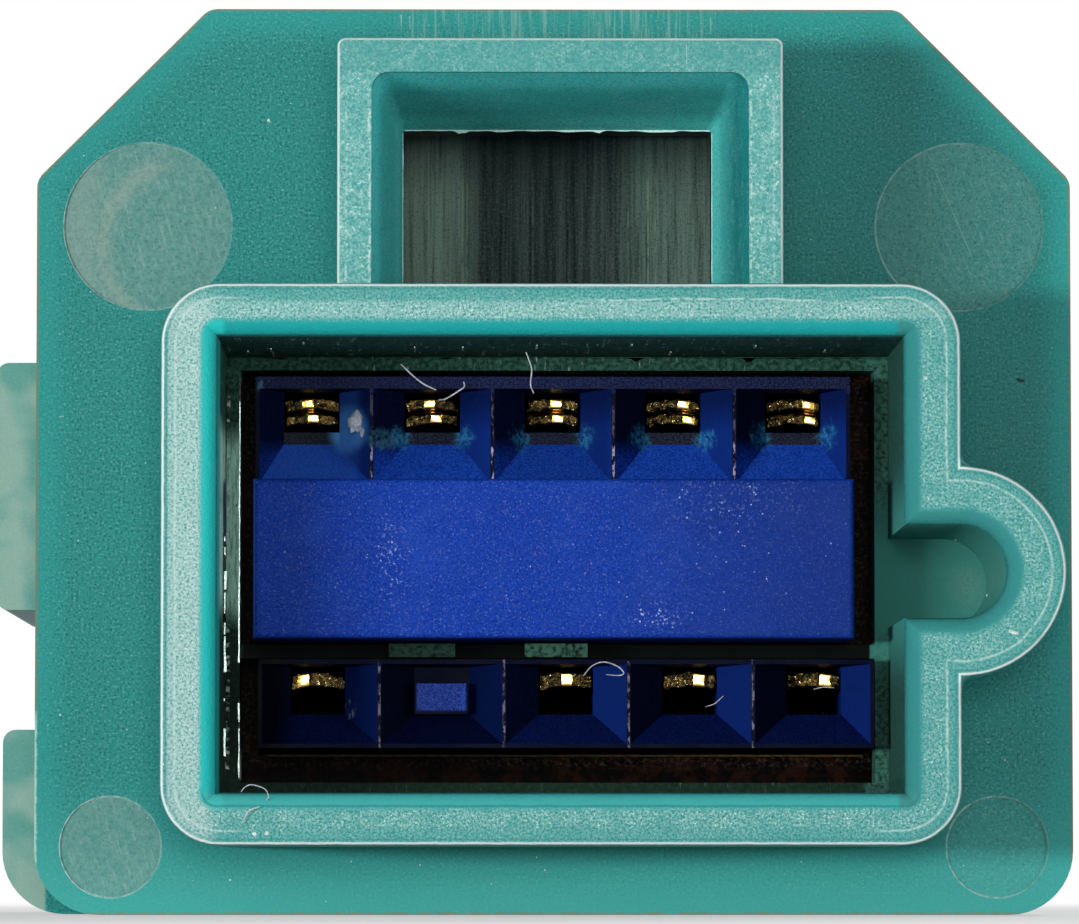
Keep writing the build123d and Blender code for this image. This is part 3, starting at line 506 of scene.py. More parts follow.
def ejector_marks(g, at):
    """Masks of the ejector marks, the painted highlights on their rings, the scratches over them, and their
    brushed look.
    """
    broken = g.step(g.noise(4.0, 3.0, 0.7), 0.38, 0.58, 0.25, 1.0)
    marks = None
    rings = None
    for x, z, radius, strength, ring_highlight_strength in MARKS:
        away = g.disc(x, z)
        spot = g.step(away, radius + 0.01, radius - 0.03) * strength
        # Painted highlight: the pale ring round each mark, brighter on the left where the light falls
        lit = g.step(g.x - x, 0.9 * radius, -0.7 * radius, 0.35, 1.0)
        ring_highlight = g.band(away, radius - 0.03, radius + 0.02, 0.02) * ring_highlight_strength * lit * broken
        marks = spot if marks is None else g.high(marks, spot)
        rings = ring_highlight if rings is None else g.high(rings, ring_highlight)
    brushed = g.noise(9.0, 3.0, 0.7, g.stretched(1.0, 0.1, 0.12, (0, 14, 0)))
    mark_colour = g.mix(g.step(at.fine, 0.3, 0.7), (90, 142, 136), (118, 160, 152))
    mark_colour = g.mix(g.step(at.grit, 0.56, 0.68) * 0.6, mark_colour, (62, 120, 116))
    mark_colour = g.mix(g.step(brushed, 0.52, 0.7) * 0.55, mark_colour, (158, 184, 172))
    smear = (
        g.band(g.disc(-10.9, 19.8), 2.3, 2.75, 0.28) * g.step(g.x, -11.0, -12.2)
        * g.step(at.fine, 0.2, 0.6, 0.4, 1.0)
    )
    smear = g.high(smear, g.step(g.x, -13.0, -13.9) * g.step(g.z, 17.0, 18.5) * 0.6)
    mark_colour = g.mix(smear * 0.5, mark_colour, (176, 178, 162))
    # A long scratch and a few short ones over the upper right mark
    lean = g.x + (g.z - 21.07) * 0.42
    scratch = (
        g.band(lean, 11.77, 11.79, 0.02) * g.band(g.z, 19.5, 22.6, 0.2)
        * g.step(g.noise(3.0, 3.0, 0.7), 0.34, 0.5)
    )
    for place, low, high in ((11.2, 18.9, 19.9), (11.5, 18.4, 19.6), (12.3, 19.2, 20.6)):
        short = (
            g.band(lean, place, place + 0.02, 0.02) * g.band(g.z, low, high, 0.15)
            * g.step(at.fine, 0.4, 0.55) * 0.7
        )
        scratch = g.high(scratch, short)
    return marks, rings, scratch, brushed, mark_colour


def teal_moulding():
    g = Graph("teal_moulding")
    at = teal_zones(g)
    marks, rings, scratch, brushed, mark_colour = ejector_marks(g, at)
    rim_colour, pocket_colour = rim_colours(g, at)
    on_mark = marks * at.plate

    colour = g.layers(
        flange_colour(g, at),
        (on_mark * 0.8, mark_colour),
        # Painted highlights on the ejector marks' rings
        (rings * at.plate * 0.85, (202, 226, 220)),
        (scratch * at.plate * 0.6, (150, 186, 176)),
        (at.in_pocket, pocket_wall(g, at)),
        (at.pocket_rim, pocket_colour),
        (at.port_rim, rim_colour),
        (at.cavity, cavity_colour(g, at)),
    )
    rims = g.high(at.port_rim, at.pocket_rim)
    roughness = 0.46 + g.high(rims, at.cavity * 3.0) * 0.1 + (at.mottle - 0.5) * 0.2
    grain = g.bump(g.noise(6.0, 3.0, 0.6), 0.02, 0.35)
    pits = g.bump((at.dots + at.specks) * rims, 0.05, 0.6, grain)
    lines = g.bump(brushed * on_mark, 0.03, 0.3, pits)
    return g.shader(colour, roughness, lines, IOR=1.5, Specular_IOR_Level=0.16)


def upper_cells(g, cell, at):
    """The upper row: painted shadow on the strip over the cells, painted shade on the sills, and smears and
    a haze round the holes.
    """
    # Painted shadow on the strip over the cells, under the cavity's top wall
    shaded_strip = at.on_rib * g.step(g.z, 15.3, 15.4)
    cell = g.mix(shaded_strip, cell, g.mix(at.grainy, (10, 15, 42), (38, 48, 88)))
    corner = shaded_strip * g.step(g.x, -8.2, -8.9) * at.worn * 0.8
    cell = g.mix(corner, cell, (70, 130, 150))
    # Painted shade: the sills under the contacts are dark slate
    shaded_sill = g.step(g.y, -0.5, -0.46) * g.step(g.z, 14.3, 14.26) * at.rear_facing
    cell = g.mix(shaded_sill, cell, g.mix(at.grainy, (11, 14, 30), (42, 46, 64)))
    # Turquoise smears at the lower corners of the contact holes
    torn = (g.noise(2.6, 4.0, 0.75) - 0.5) * 0.9
    beside = g.lengths(at.offset - 0.95, (g.z - 14.05) * 0.8) + torn
    smear = (
        g.step(beside, 0.38, 0.05) * g.step(g.noise(7.0, 3.0, 0.7), 0.35, 0.6) * at.recess
        * g.step(g.x, -7.7, -7.3)
    )
    spread = g.oval(-5.05, 13.98, 1.9) + torn
    blob = g.step(spread, 0.75, 0.3) * g.step(g.noise(8.0, 3.0, 0.7), 0.35, 0.6) * at.recess
    cell = g.mix(smear * 0.75, cell, (52, 134, 182))
    beside_chip = g.step(g.oval(-6.1, 14.3, 0.8), 0.7, 0.3) * at.recess
    cell = g.mix(beside_chip * (0.45 + at.fine * 0.55), cell, (96, 172, 242))
    cell = g.mix(blob * 0.7, cell, (58, 108, 132))
    first_lit = g.step(g.x, -5.6, -6.0) * (1.0 - at.on_rib) * g.high(at.faces_up, at.faces_left)
    cell = g.mix(first_lit * 0.3, cell, (66, 122, 240))
    third_dim = g.band(g.x, -1.7, 1.6, 0.1) * (1.0 - at.on_rib)
    cell = g.mix(third_dim * 0.28, cell, (4, 10, 40))
    return cell


def lower_cells(g, cell, at):
    """The lower row: an unlit first cell, the blank pad and the dim cell round it."""
    unlit = g.step(g.x, -7.5, -8.3)
    cell = g.mix(unlit * 0.9, cell, (2, 3, 8))
    on_blank = (
        g.band(g.x, -4.06, -2.6, 0.05) * g.band(g.z, 6.0, 6.84, 0.05) * g.step(g.y, -0.9, -0.98)
        * at.rear_facing
    )
    pad_edge = 0.75 + g.step(g.x, -2.8, -2.65) * 0.25
    cell = g.mix(on_blank * pad_edge, cell, g.mix(at.grainy, (26, 48, 134), (58, 88, 186)))
    dim_cell = g.band(g.x, -5.1, -1.5, 0.05) * (1.0 - on_blank) * (1.0 - at.on_rib)
    cell = g.mix(dim_cell * 0.62, cell, (2, 4, 16))
    scrape = g.step(g.oval(-6.02, 6.05, 0.7), 0.24, 0.06) * at.worn
    cell = g.mix(scrape * 0.8, cell, (168, 186, 222))
    return cell


def bar_face(g, blue, rear_facing):
    """Dust and a dull film on the raised bar's front, painted shade towards its right, and painted light on
    its left edge.
    """
    front = g.step(g.y, BAR_Y + 0.3, BAR_Y + 0.15) * rear_facing
    cloud = g.high(
        g.step(g.oval(5.2, 12.2, 1.8), 2.8, 0.6) * 0.7,
        g.high(
            g.step(g.oval(3.0, 8.7, 1.6), 1.1, 0.2), g.step(g.oval(-4.75, 10.4, 0.5, 2.0), 1.1, 0.2)
        ),
    )
    dust = g.step(g.noise(13.0, 2.0, 0.7), 0.58, 0.68)
    faint = g.step(g.noise(16.0, 1.5, 0.6), 0.62, 0.7)
    dust = dust * (cloud * 0.7 + 0.14) + faint * 0.35
    blue = g.mix(dust * front, blue, (150, 168, 226))
    film = g.step(g.noise(0.7, 3.0, 0.6), 0.45, 0.7) * front * 0.2
    blue = g.mix(film, blue, (48, 84, 180))
    # Painted shade: darker towards the right
    right_shade = front * g.step(g.x, 0.0, 7.0) * 0.45
    blue = g.mix(right_shade, blue, (30, 50, 112))
    # Painted light along the bar's left edge
    left_edge_light = (
        g.step(g.x, block_low.x + 0.78, block_low.x + 0.73) * g.step(g.y, BAR_Y + 0.6, BAR_Y + 0.3) * 0.6
    )
    blue = g.mix(left_edge_light, blue, (74, 108, 210))
    return blue


def blue_moulding(name, light, deep, lit_slope, lit_slope_deep, lit_flank, dusty):
    """The terminal blocks' blue, with painted light and shade on the cells by which way their faces turn.
    The dusty one is the upper block, with the raised bar.
    """
    g = Graph(name)
    mottle = g.noise(0.9, 3.0, 0.6)
    fine = g.noise(14.0, 3.0, 0.7)
    rear_facing = g.step(g.ny, -0.7, -0.95)
    blue = g.mix(mottle, deep, light)
    blue = g.mix(g.step(fine, 0.4, 0.7) * 0.3, blue, (52, 84, 176))
    blue = g.mix(g.step(fine, 0.52, 0.36) * 0.55, blue, (6, 26, 96))
    recess = g.step(g.y, BAR_Y + 0.4, ROW_Y - 0.05)
    faces_up = g.step(g.nz, 0.15, 0.4)
    faces_left = g.step(g.nx, -0.15, -0.4)
    grainy = g.step(g.noise(16.0, 2.5, 0.8), 0.4, 0.62)
    cell = g.mix(grainy, (3, 6, 22), (9, 18, 54))
    # Painted light and shade by facing: cell faces turned left or up get lighter colours
    flank_light = g.step(g.z, 15.3, 14.0, 0.3, 1.0) if dusty else 1.0
    cell = g.mix(faces_left * (0.45 + fine * 0.5) * flank_light, cell, lit_flank)
    cell = g.mix(faces_up, cell, g.mix(grainy, lit_slope_deep, lit_slope))
    if dusty:
        # Painted light on the lower faces of the upper cells
        lit_foot = (
            g.step(g.z, 14.1, 13.2) * (1.0 - g.high(faces_up, faces_left))
            * g.step(g.x, -8.6, -7.6, 0.4, 1.0)
        )
        cell = g.mix(lit_foot * 0.85, cell, g.mix(grainy, (12, 40, 132), (34, 84, 206)))
    # Thin worn edges of the cells
    worn = g.step(g.noise(6.0, 3.0, 0.7, g.stretched(1.0, 1.0, 0.4)), 0.48, 0.6)
    on_rib = rear_facing * g.band(g.y, ROW_Y - 0.05, ROW_Y + 0.04, 0.02)
    period = UPPER_PITCH if dusty else LOWER_PITCH
    middle = UPPER_X if dusty else LOWER_X
    offset = g.math("PINGPONG", g.x - middle, period / 2)
    divider = (
        on_rib * g.step(offset, period / 2 - 0.05, period / 2 - 0.02)
        * g.step(abs(g.x - middle), 2.45 * period, 2.4 * period)
    )
    cell = g.mix(on_rib, cell, g.mix(grainy, (2, 4, 16), (10, 17, 50)))
    low_rib = g.step(g.z, 14.0, 13.7, 0.15, 0.85) if dusty else 0.4
    cell = g.mix(divider * worn * low_rib, cell, (196, 184, 216))
    at = SimpleNamespace(
        fine=fine, grainy=grainy, recess=recess, rear_facing=rear_facing, on_rib=on_rib, worn=worn,
        offset=offset, faces_up=faces_up, faces_left=faces_left,
    )
    cell = (upper_cells if dusty else lower_cells)(g, cell, at)
    blue = g.mix(recess, blue, cell)
    if dusty:
        blue = bar_face(g, blue, rear_facing)
    roughness = g.step(mottle, 0.3, 0.7, 0.42, 0.55)
    grain = g.bump(fine, 0.02, 0.4)
    return g.shader(blue, roughness, grain, IOR=1.48, Specular_IOR_Level=0.05)


def dark_carrier():
    g = Graph("dark_carrier")
    streaks = g.noise(6.5, 4.0, 0.75, g.stretched(1.0, 0.1, 0.025))
    broad = g.noise(0.9, 2.0, 0.5, g.stretched(1.0, 0.1, 0.06))
    grain = g.noise(14.0, 2.0, 0.7)
    grey = g.mix(g.step(streaks, 0.35, 0.7), (42, 56, 56), (96, 112, 108))
    left_side = g.step(g.x, -2.0, -3.2)
    grey = g.layers(
        grey,
        (g.step(g.x, 1.8, 2.8) * g.step(streaks, 0.25, 0.6) * 0.6, (136, 168, 154)),
        (left_side * g.step(streaks, 0.2, 0.6) * 0.9, (170, 200, 184)),
        (g.step(broad, 0.5, 0.7) * 0.25, (86, 102, 90)),
        (g.step(grain, 0.52, 0.66) * 0.5, (14, 18, 18)),
        (g.step(grain, 0.46, 0.36) * 0.4, (128, 140, 132)),
    )
    shade = g.step(g.z, 23.4, 21.4)
    grey = g.mix((1.0 - shade) * 0.65, grey, (14, 36, 38))
    lines = None
    for x, width, strength in (
        (-2.72, 0.03, 0.8), (-2.58, 0.02, 0.7), (2.9, 0.02, 0.7),
        (3.12, 0.02, 0.5), (2.3, 0.02, 0.4), (-0.6, 0.02, 0.3),
    ):
        line = g.band(g.x, x - width, x + width, 0.02) * strength
        lines = line if lines is None else g.high(lines, line)
    grey = g.mix(
        lines * g.step(g.z, 22.8, 21.6) * g.step(g.noise(2.0, 2.0), 0.36, 0.55), grey, (166, 182, 158)
    )
    upper = g.step(g.z, 17.4, 18.2)
    # Painted shade over a brown tone: nearly black below the latch window
    shaded_brown = g.mix(g.step(g.noise(1.6, 4.0, 0.7), 0.45, 0.65), (2, 1, 1), (34, 16, 8))
    dirt = g.step(g.noise(7.0, 4.0, 0.8), 0.48, 0.66) * g.step(g.z, 4.25, 4.6)
    shaded_brown = g.mix(dirt * 0.6, shaded_brown, (82, 72, 62))
    colour = g.mix(upper, shaded_brown, grey)
    return g.shader(colour, 0.5, g.bump(streaks, 0.03, 0.5), IOR=1.5, Specular_IOR_Level=0.04)


def worn_gold():
    g = Graph("worn_gold")
    patches = g.noise(5.0, 3.0, 0.7)
    grains = g.noise(11.0, 3.0, 0.75)
    polish_highlight = g.node("ShaderNodeAttribute", {"attribute_name": "polish_highlight"})
    across = Value(g, polish_highlight.outputs["Fac"])
    away = abs(across) + (patches - 0.5) * 0.2
    nose = g.step(g.y, 0.3, 0.0)
    # Painted highlight: each nose's rubbed spot is bright gold, over wear from mating pins
    rubbed_highlight = g.step(away, 0.27, 0.2) * nose
    # Painted glints: bright grains over the leaf, strongest towards its ends
    ends = g.step(away, 0.3, 0.6)
    colour = g.mix(g.step(patches, 0.42, 0.6), (96, 78, 42), (34, 32, 22))
    colour = g.layers(
        colour,
        (g.step(grains, 0.6, 0.66) * (0.35 + ends * 0.6), (244, 222, 160)),
        (g.step(grains, 0.42, 0.34) * 0.8, (14, 12, 8)),
        (rubbed_highlight, (216, 178, 92)),
    )
    # Painted shade: near black on the leaves' undersides and behind the noses
    shaded_under = g.step(g.nz, -0.35, -0.7) * g.step(g.y, -0.12, 0.06)
    inside = g.high(shaded_under, g.step(g.y, 0.1, 0.5)) * g.step(g.y, 8.4, 8.0)
    colour = g.mix(inside * 0.95, colour, (8, 7, 5))
    roughness = g.step(patches, 0.4, 0.7, 0.14, 0.24) - rubbed_highlight * 0.07
    roughness = roughness + inside * 0.5
    dents = patches * 2.0 + grains
    normal = g.bump(dents * (1.0 - rubbed_highlight), 0.05, 0.5)
    return g.shader(colour, roughness, normal, Metallic=1.0)


def plain_metal(name, dark, light, roughness_low, roughness_high, scale=6.0):
    g = Graph(name)
    patina = g.noise(scale, 3.0, 0.6)
    fine = g.noise(scale * 4, 2.0, 0.6)
    colour = g.mix(g.step(patina, 0.3, 0.7), dark, light)
    roughness = g.step(fine, 0.3, 0.7, roughness_low, roughness_high)
    return g.shader(colour, roughness, g.bump(fine, 0.02, 0.3), Metallic=1.0)


def satin_plastic(name, dark, light, roughness, grain=0.3, scale=7.0):
    g = Graph(name)
    mottle = g.noise(0.5, 3.0, 0.6)
    fine = g.noise(scale, 3.0, 0.65)
    colour = g.mix(mottle, dark, light)
    colour = g.mix(g.step(g.noise(12.0, 1.5), 0.68, 0.74) * 0.35, colour, (150, 150, 148))
    rough = g.step(mottle, 0.3, 0.7, roughness - 0.06, roughness + 0.06)
    return g.shader(colour, rough, g.bump(fine, 0.03, grain), IOR=1.5)


def laminate():
    g = Graph("laminate")
    warp = g.math("SINE", g.x * 14.0)
    weft = g.math("SINE", g.z * 14.0)
    weave = g.step(warp * weft, -0.4, 0.4)
    colour = g.mix(weave, (128, 104, 58), (150, 126, 74))
    colour = g.mix(g.noise(0.8, 2.0) * 0.4, colour, (96, 92, 50))
    return g.shader(colour, 0.45, g.bump(weave, 0.01, 0.3), IOR=1.5)


def clear_moulding():
    g = Graph("clear_moulding")
    haze = g.noise(3.0, 2.0)
    colour = g.mix(haze, (236, 244, 246), (214, 226, 232))
    roughness = g.step(haze, 0.3, 0.7, 0.05, 0.16)
    return g.shader(colour, roughness, None, Transmission_Weight=0.85, IOR=1.49)


def flat_shade(name, colour, deep, roughness, **fixed):
    """A small part's own material: two tones in fine grain."""
    g = Graph(name)
    grain = g.noise(16.0, 3.0, 0.7)
    return g.shader(
        g.mix(g.step(grain, 0.35, 0.65), deep, colour), roughness, g.bump(grain, 0.02, 0.5), **fixed
    )


def assign(name, material):
    data = nodes[name].data
    if not data.materials:
        data.materials.append(material)
    for i in range(len(data.materials)):
        data.materials[i] = material


gold = worn_gold()
steel = plain_metal("spring_steel_wire", (150, 152, 156), (200, 202, 206), 0.22, 0.38)
bridge_metal = plain_metal("copper_alloy", (190, 146, 108), (218, 174, 136), 0.2, 0.4)
black = satin_plastic("black_moulding", (16, 16, 17), (30, 30, 31), 0.5)
materials = {
    "rear_housing": teal_moulding(),
    "upper_terminal_block": blue_moulding(
        "blue_upper", (21, 66, 176), (11, 50, 148), (34, 84, 196), (16, 52, 148), (18, 52, 138), True
    ),
    # The lower block's blues are darker than the upper one's, as painted shade
    "lower_terminal_block": blue_moulding(
        "blue_lower", (12, 34, 110), (6, 18, 64), (11, 27, 84), (4, 13, 50), (15, 42, 116), False
    ),
    "inner_carrier": dark_carrier(),
    "contact_board": laminate(),
    "fixed_contact_rivets": bridge_metal,
    "indicator_lamp": satin_plastic("lamp_lens", (238, 238, 230), (246, 246, 240), 0.2, 0.05),
    "series_resistor": satin_plastic("resistor_body", (24, 26, 30), (44, 46, 50), 0.35, 0.1),
    "front_housing": black,
    "light_pipe": clear_moulding(),
    "pin_leaf_spring": steel,
    "latch_pin": steel,
    "button_cap": satin_plastic("black_button", (17, 17, 18), (27, 27, 28), 0.42, 0.4, 9.0),
    "warning_symbol": satin_plastic("symbol_red", (188, 36, 30), (204, 42, 36), 0.4, 0.1),
    "diffuser": satin_plastic("diffuser_sheet", (214, 216, 214), (234, 234, 230), 0.5, 0.1),
    "plunger": satin_plastic("plunger_natural", (206, 204, 192), (228, 226, 216), 0.4, 0.15),
    "contact_bridge_left": bridge_metal,
    "contact_bridge_right": bridge_metal,
    "bridge_spring_left": steel,
    "bridge_spring_right": steel,
    "return_spring": steel,
}
for node_name in nodes:
    assign(node_name, materials.get(node_name, gold))


# ---------------------------------------------------------------- mesh helpers
def mesh_piece(name, bm, material, body, sharp=35.0):
    """Turns a bmesh in millimetres into a piece that rides on a body, smooth except at its sharp edges."""
    bmesh.ops.recalc_face_normals(bm, faces=bm.faces)
    for edge in bm.edges:
        if len(edge.link_faces) == 2 and edge.calc_face_angle(0.0) > math.radians(sharp):
            edge.smooth = False
    for face in bm.faces:
        face.smooth = True
    bmesh.ops.scale(bm, vec=(MM, MM, MM), verts=bm.verts)
    mesh = bpy.data.meshes.new(name)
    bm.to_mesh(mesh)
    bm.free()
    mesh.materials.append(material)
    piece = bpy.data.objects.new(name, mesh)
    bpy.context.scene.collection.objects.link(piece)
    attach(piece, body)
    return piece


def rounded_block(bm, low, high, bevel):
    """A box with bevelled edges between two corners."""
    made = bmesh.ops.create_cube(bm, size=1.0)["verts"]
    for vert in made:
        for axis in range(3):
            vert.co[axis] = low[axis] if vert.co[axis] < 0 else high[axis]
    edges = list(dict.fromkeys(edge for vert in made for edge in vert.link_edges))
    bmesh.ops.bevel(bm, geom=edges, offset=bevel, segments=2, affect="EDGES", profile=0.6)


def smooth_path(points, steps):
    """Points of a Catmull-Rom curve through the given ones."""
    ends = [2 * points[0] - points[1]] + points + [2 * points[-1] - points[-2]]
    path = []
    for a, b, c, d in zip(ends, ends[1:], ends[2:], ends[3:]):
        for i in range(steps):
            t = i / steps
            path.append(
                0.5
                * (
                    2 * b + (c - a) * t + (2 * a - 5 * b + 4 * c - d) * t ** 2
                    + (3 * b - a - 3 * c + d) * t ** 3
                ),
            )
    return path + [points[-1]]


def tube(bm, path, radius, sides=8):
    """A round tube along a path, closed at both ends. The radius is a number or a function of 0 to 1."""
    rings = []
    side = None
    for i, point in enumerate(path):
        along = (path[min(i + 1, len(path) - 1)] - path[max(i - 1, 0)]).normalized()
        if side is None:
            side = along.orthogonal().normalized()
        side = (side - along * side.dot(along)).normalized()
        up = along.cross(side)
        r = radius(i / (len(path) - 1)) if callable(radius) else radius
        turn = [2 * math.pi * k / sides for k in range(sides)]
        rings.append([bm.verts.new(point + r * (math.cos(a) * side + math.sin(a) * up)) for a in turn])
    for one, two in zip(rings, rings[1:]):
        for k in range(sides):
            bm.faces.new((one[k], one[(k + 1) % sides], two[(k + 1) % sides], two[k]))
    bm.faces.new(rings[0])
    bm.faces.new(rings[-1])


def sheet_strip(bm, path, x, width, thickness, crown=0.0, arch=0.0, axis=0.0, columns=16):
    """Sheet metal along a path of (y, z) points, bent across its width, a thickness through.

    Its vertices keep how far across they lie from the crown's axis, where mating pins polish the metal and
    the gold's painted highlight is centred.
    """
    polish_highlight = bm.verts.layers.float.get("polish_highlight") or bm.verts.layers.float.new("polish_highlight")
    skins = ([], [])
    for i, (y, z) in enumerate(path):
        before, after = path[max(i - 1, 0)], path[min(i + 1, len(path) - 1)]
        along = Vector((after[0] - before[0], after[1] - before[1])).normalized()
        out = (along.y, -along.x)
        for skin, side in zip(skins, (0.5, -0.5)):
            row = []
            for j in range(columns + 1):
                u = 2 * j / columns - 1
                back = crown * (u - axis) ** 2
                drop = arch * u * u
                vert = bm.verts.new((
                    x + u * width / 2,
                    y + side * thickness * out[0] + back,
                    z + side * thickness * out[1] - drop,
                ))
                vert[polish_highlight] = u - axis
                row.append(vert)
            skin.append(row)
    for skin in skins:
        for one, two in zip(skin, skin[1:]):
            for j in range(columns):
                bm.faces.new((one[j], one[j + 1], two[j + 1], two[j]))
    for i in range(len(path) - 1):
        for j in (0, columns):
            bm.faces.new((skins[0][i][j], skins[0][i + 1][j], skins[1][i + 1][j], skins[1][i][j]))
    for i in (0, len(path) - 1):
        for j in range(columns):
            bm.faces.new((skins[0][i][j], skins[0][i][j + 1], skins[1][i][j + 1], skins[1][i][j]))


# ---------------------------------------------------------------- terminals
STRIP = 0.12  # thickness of the sheet metal
NOSE_Y = -0.25  # where the leaves begin
CORNER = 0.07  # bend radius of a nose
BACK_Y = 6.9  # the receptacles' back
DENT = 0.05  # how deep the worn leaves are crumpled


def nose_path(top, height, face_radius):
    """A leaf's centre line as (y, z): in along its top, round the nose, and back to its heel."""
    high, low = top - STRIP / 2, top - height + STRIP / 2
    middle, half = (high + low) / 2, (high - low) / 2
    front = NOSE_Y + STRIP / 2
    path = [(BACK_Y, high), (BACK_Y * 0.5, high), (front + 0.9, high), (front + 0.45, high)]
    for i in range(7):
        a = math.radians(90 + 15 * i)
        path.append((front + CORNER * (1 + math.cos(a)), high - CORNER + CORNER * math.sin(a)))
    for i in range(1, 8):
        path.append((front, high - CORNER - (high - low - 2 * CORNER) * i / 8))
    for i in range(7):
        a = math.radians(180 + 15 * i)
        path.append((front + CORNER * (1 + math.cos(a)), low + CORNER + CORNER * math.sin(a)))
    for along, rise in ((0.7, 0.01), (1.5, -0.06), (2.4, 0.02), (3.0, 0.14)):
        path.append((front + along, low + rise))
    bent = []
    for y, z in path:
        near = max(0.0, 1 - (y - front) / 0.6)
        bulge = (half * half - (z - middle) ** 2) / (2 * face_radius)
        bent.append((y - near * bulge, z))
    return bent


def receptacle(node, x, hole, leaf_height, face_radius, axes):
    """One terminal: sprung leaves at the mouth, a back, a floor and a tail through the board."""
    width = hole[0] - 0.12
    low, high = box_mm(node)
    bottom, top = low.z, high.z
    bm = bmesh.new()
    for leaf, axis in enumerate(axes):
        crown = (width / 2) ** 2 / (2 * face_radius)
        path = nose_path(top - leaf * (leaf_height + 0.01) - 0.01, leaf_height, face_radius)
        sheet_strip(bm, path, x, width * (1 - 0.03 * leaf), STRIP, crown, 0.1, axis)
    polish_highlight = bm.verts.layers.float["polish_highlight"]
    for vert in bm.verts:
        loose = min(1.0, max(0.0, (abs(vert[polish_highlight]) - 0.22) / 0.2)) * min(1.0, max(0.0, 1.2 - vert.co.y))
        vert.co += DENT * loose * noise.noise_vector(vert.co * 5.0)
    floor_path = [
        (5.2, bottom + 0.1), (5.9, bottom + 0.1), (6.6, bottom + 0.1), (6.85, bottom + 0.16),
        (BACK_Y, bottom + 0.35), (BACK_Y, top - 0.12),
    ]
    sheet_strip(bm, floor_path, x, width, STRIP, columns=4)
    middle = (top + bottom) / 2
    rounded_block(bm, (x - 0.32, 6.85, middle - 0.2), (x + 0.32, high.y, middle + 0.2), 0.05)
    piece = mesh_piece(node.replace("terminal", "receptacle"), bm, gold, "housing")
    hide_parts(node)


# Where mating pins have polished each leaf and its painted highlight lies, as a share of its half width
# from the middle
upper_axes = ((-0.15, 0.05), (-0.1, 0.15), (0.12, 0.2), (0.42, 0.62), (0.6, 0.68))
lower_axes = ((-0.55,), (0.0,), (0.05,), (0.38,), (0.45,))
for i in range(5):
    place = i - 2
    receptacle(
        f"upper_terminal_{i + 1}", UPPER_X + place * UPPER_PITCH, UPPER_HOLE, 0.43, 2.8, upper_axes[i]
    )
    if f"lower_terminal_{i + 1}" in nodes:
        receptacle(
            f"lower_terminal_{i + 1}", LOWER_X + place * LOWER_PITCH, LOWER_HOLE, 0.56, 4.4, lower_axes[i]
        )


# ---------------------------------------------------------------- springs
def coil(name, node, body, wire, turns):
    """A compression spring in the place of a CAD one, with its end turns closed."""
    low, high = box_mm(node)
    middle = (low + high) / 2
    radius = (high.x - low.x) / 2 - wire
    steps = int(turns * 28)
    path = []
    for i in range(steps + 1):
        t = i / steps
        ramp = min(1.0, max(0.0, (t * turns - 0.8) / (turns - 1.6)))
        y_low, y_high = low.y + wire, high.y - wire
        closed = 1.7 * wire
        if ramp <= 0.0:
            y = y_low + closed * t * turns / 0.8
        elif ramp >= 1.0:
            y = y_high - closed * (1 - t) * turns / 0.8
        else:
            y = y_low + closed + (y_high - y_low - 2 * closed) * ramp
        a = 2 * math.pi * turns * t
        path.append(Vector((middle.x + radius * math.cos(a), y, middle.z + radius * math.sin(a))))
    bm = bmesh.new()
    tube(bm, path, wire, 10)
    piece = mesh_piece(name, bm, steel, body, sharp=60)
    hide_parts(node)
    return piece


return_coil = coil("return_coil", "return_spring", "housing", 0.2, 9)
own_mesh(return_coil)
for side in ("left", "right"):
    coil(f"bridge_coil_{side}", f"bridge_spring_{side}", "button", 0.15, 4)


# ---------------------------------------------------------------- flash, fibres and dust
flash_white = flat_shade("flash_white", (240, 252, 249), (186, 226, 219), 0.4)
fibre_grey = flat_shade("fibre_grey", (226, 228, 232), (166, 172, 182), 0.6)
dust_pale = flat_shade("dust_pale", (236, 242, 240), (170, 204, 198), 0.7)
dust_blue = flat_shade("dust_blue", (190, 200, 236), (110, 128, 200), 0.7)
grit_dark = flat_shade("grit_dark", (20, 26, 22), (8, 12, 10), 0.7)
chip_haze = flat_shade("chip_haze", (206, 210, 220), (158, 170, 190), 0.5)


def ragged_ribbon(bm, path, widths, side, thickness):
    """A thin strip along a path, of changing width, hanging to one side."""
    rows = []
    for point, width in zip(path, widths):
        edge = point + side * width
        back = Vector((0, thickness, 0))
        rows.append([bm.verts.new(v) for v in (point, edge, edge + back, point + back)])
    for one, two in zip(rows, rows[1:]):
        for k in range(4):
            bm.faces.new((one[k], one[(k + 1) % 4], two[(k + 1) % 4], two[k]))
    bm.faces.new(rows[0])
    bm.faces.new(rows[-1])


def flash_line(bm, start, end, side, width, burrs=(), count=90, y=0.0):
    """Moulding flash along an edge: a thin line of changing width with a few burrs."""
    path, widths = [], []
    for i in range(count + 1):
        t = i / count
        x = start[0] + (end[0] - start[0]) * t
        z = start[1] + (end[1] - start[1]) * t
        burr = sum(size * math.exp(-(((t - at) / spread) ** 2)) for at, size, spread in burrs)
        ripple = 0.75 + 0.6 * noise.noise(Vector((x * 1.7, z * 1.7, 3.1)))
        path.append(Vector((x, y, z)))
        widths.append(max(0.006, width * ripple + burr * (0.7 + random.random() * 0.5)))
    ragged_ribbon(bm, path, widths, Vector((side[0], 0, side[1])), 0.03)


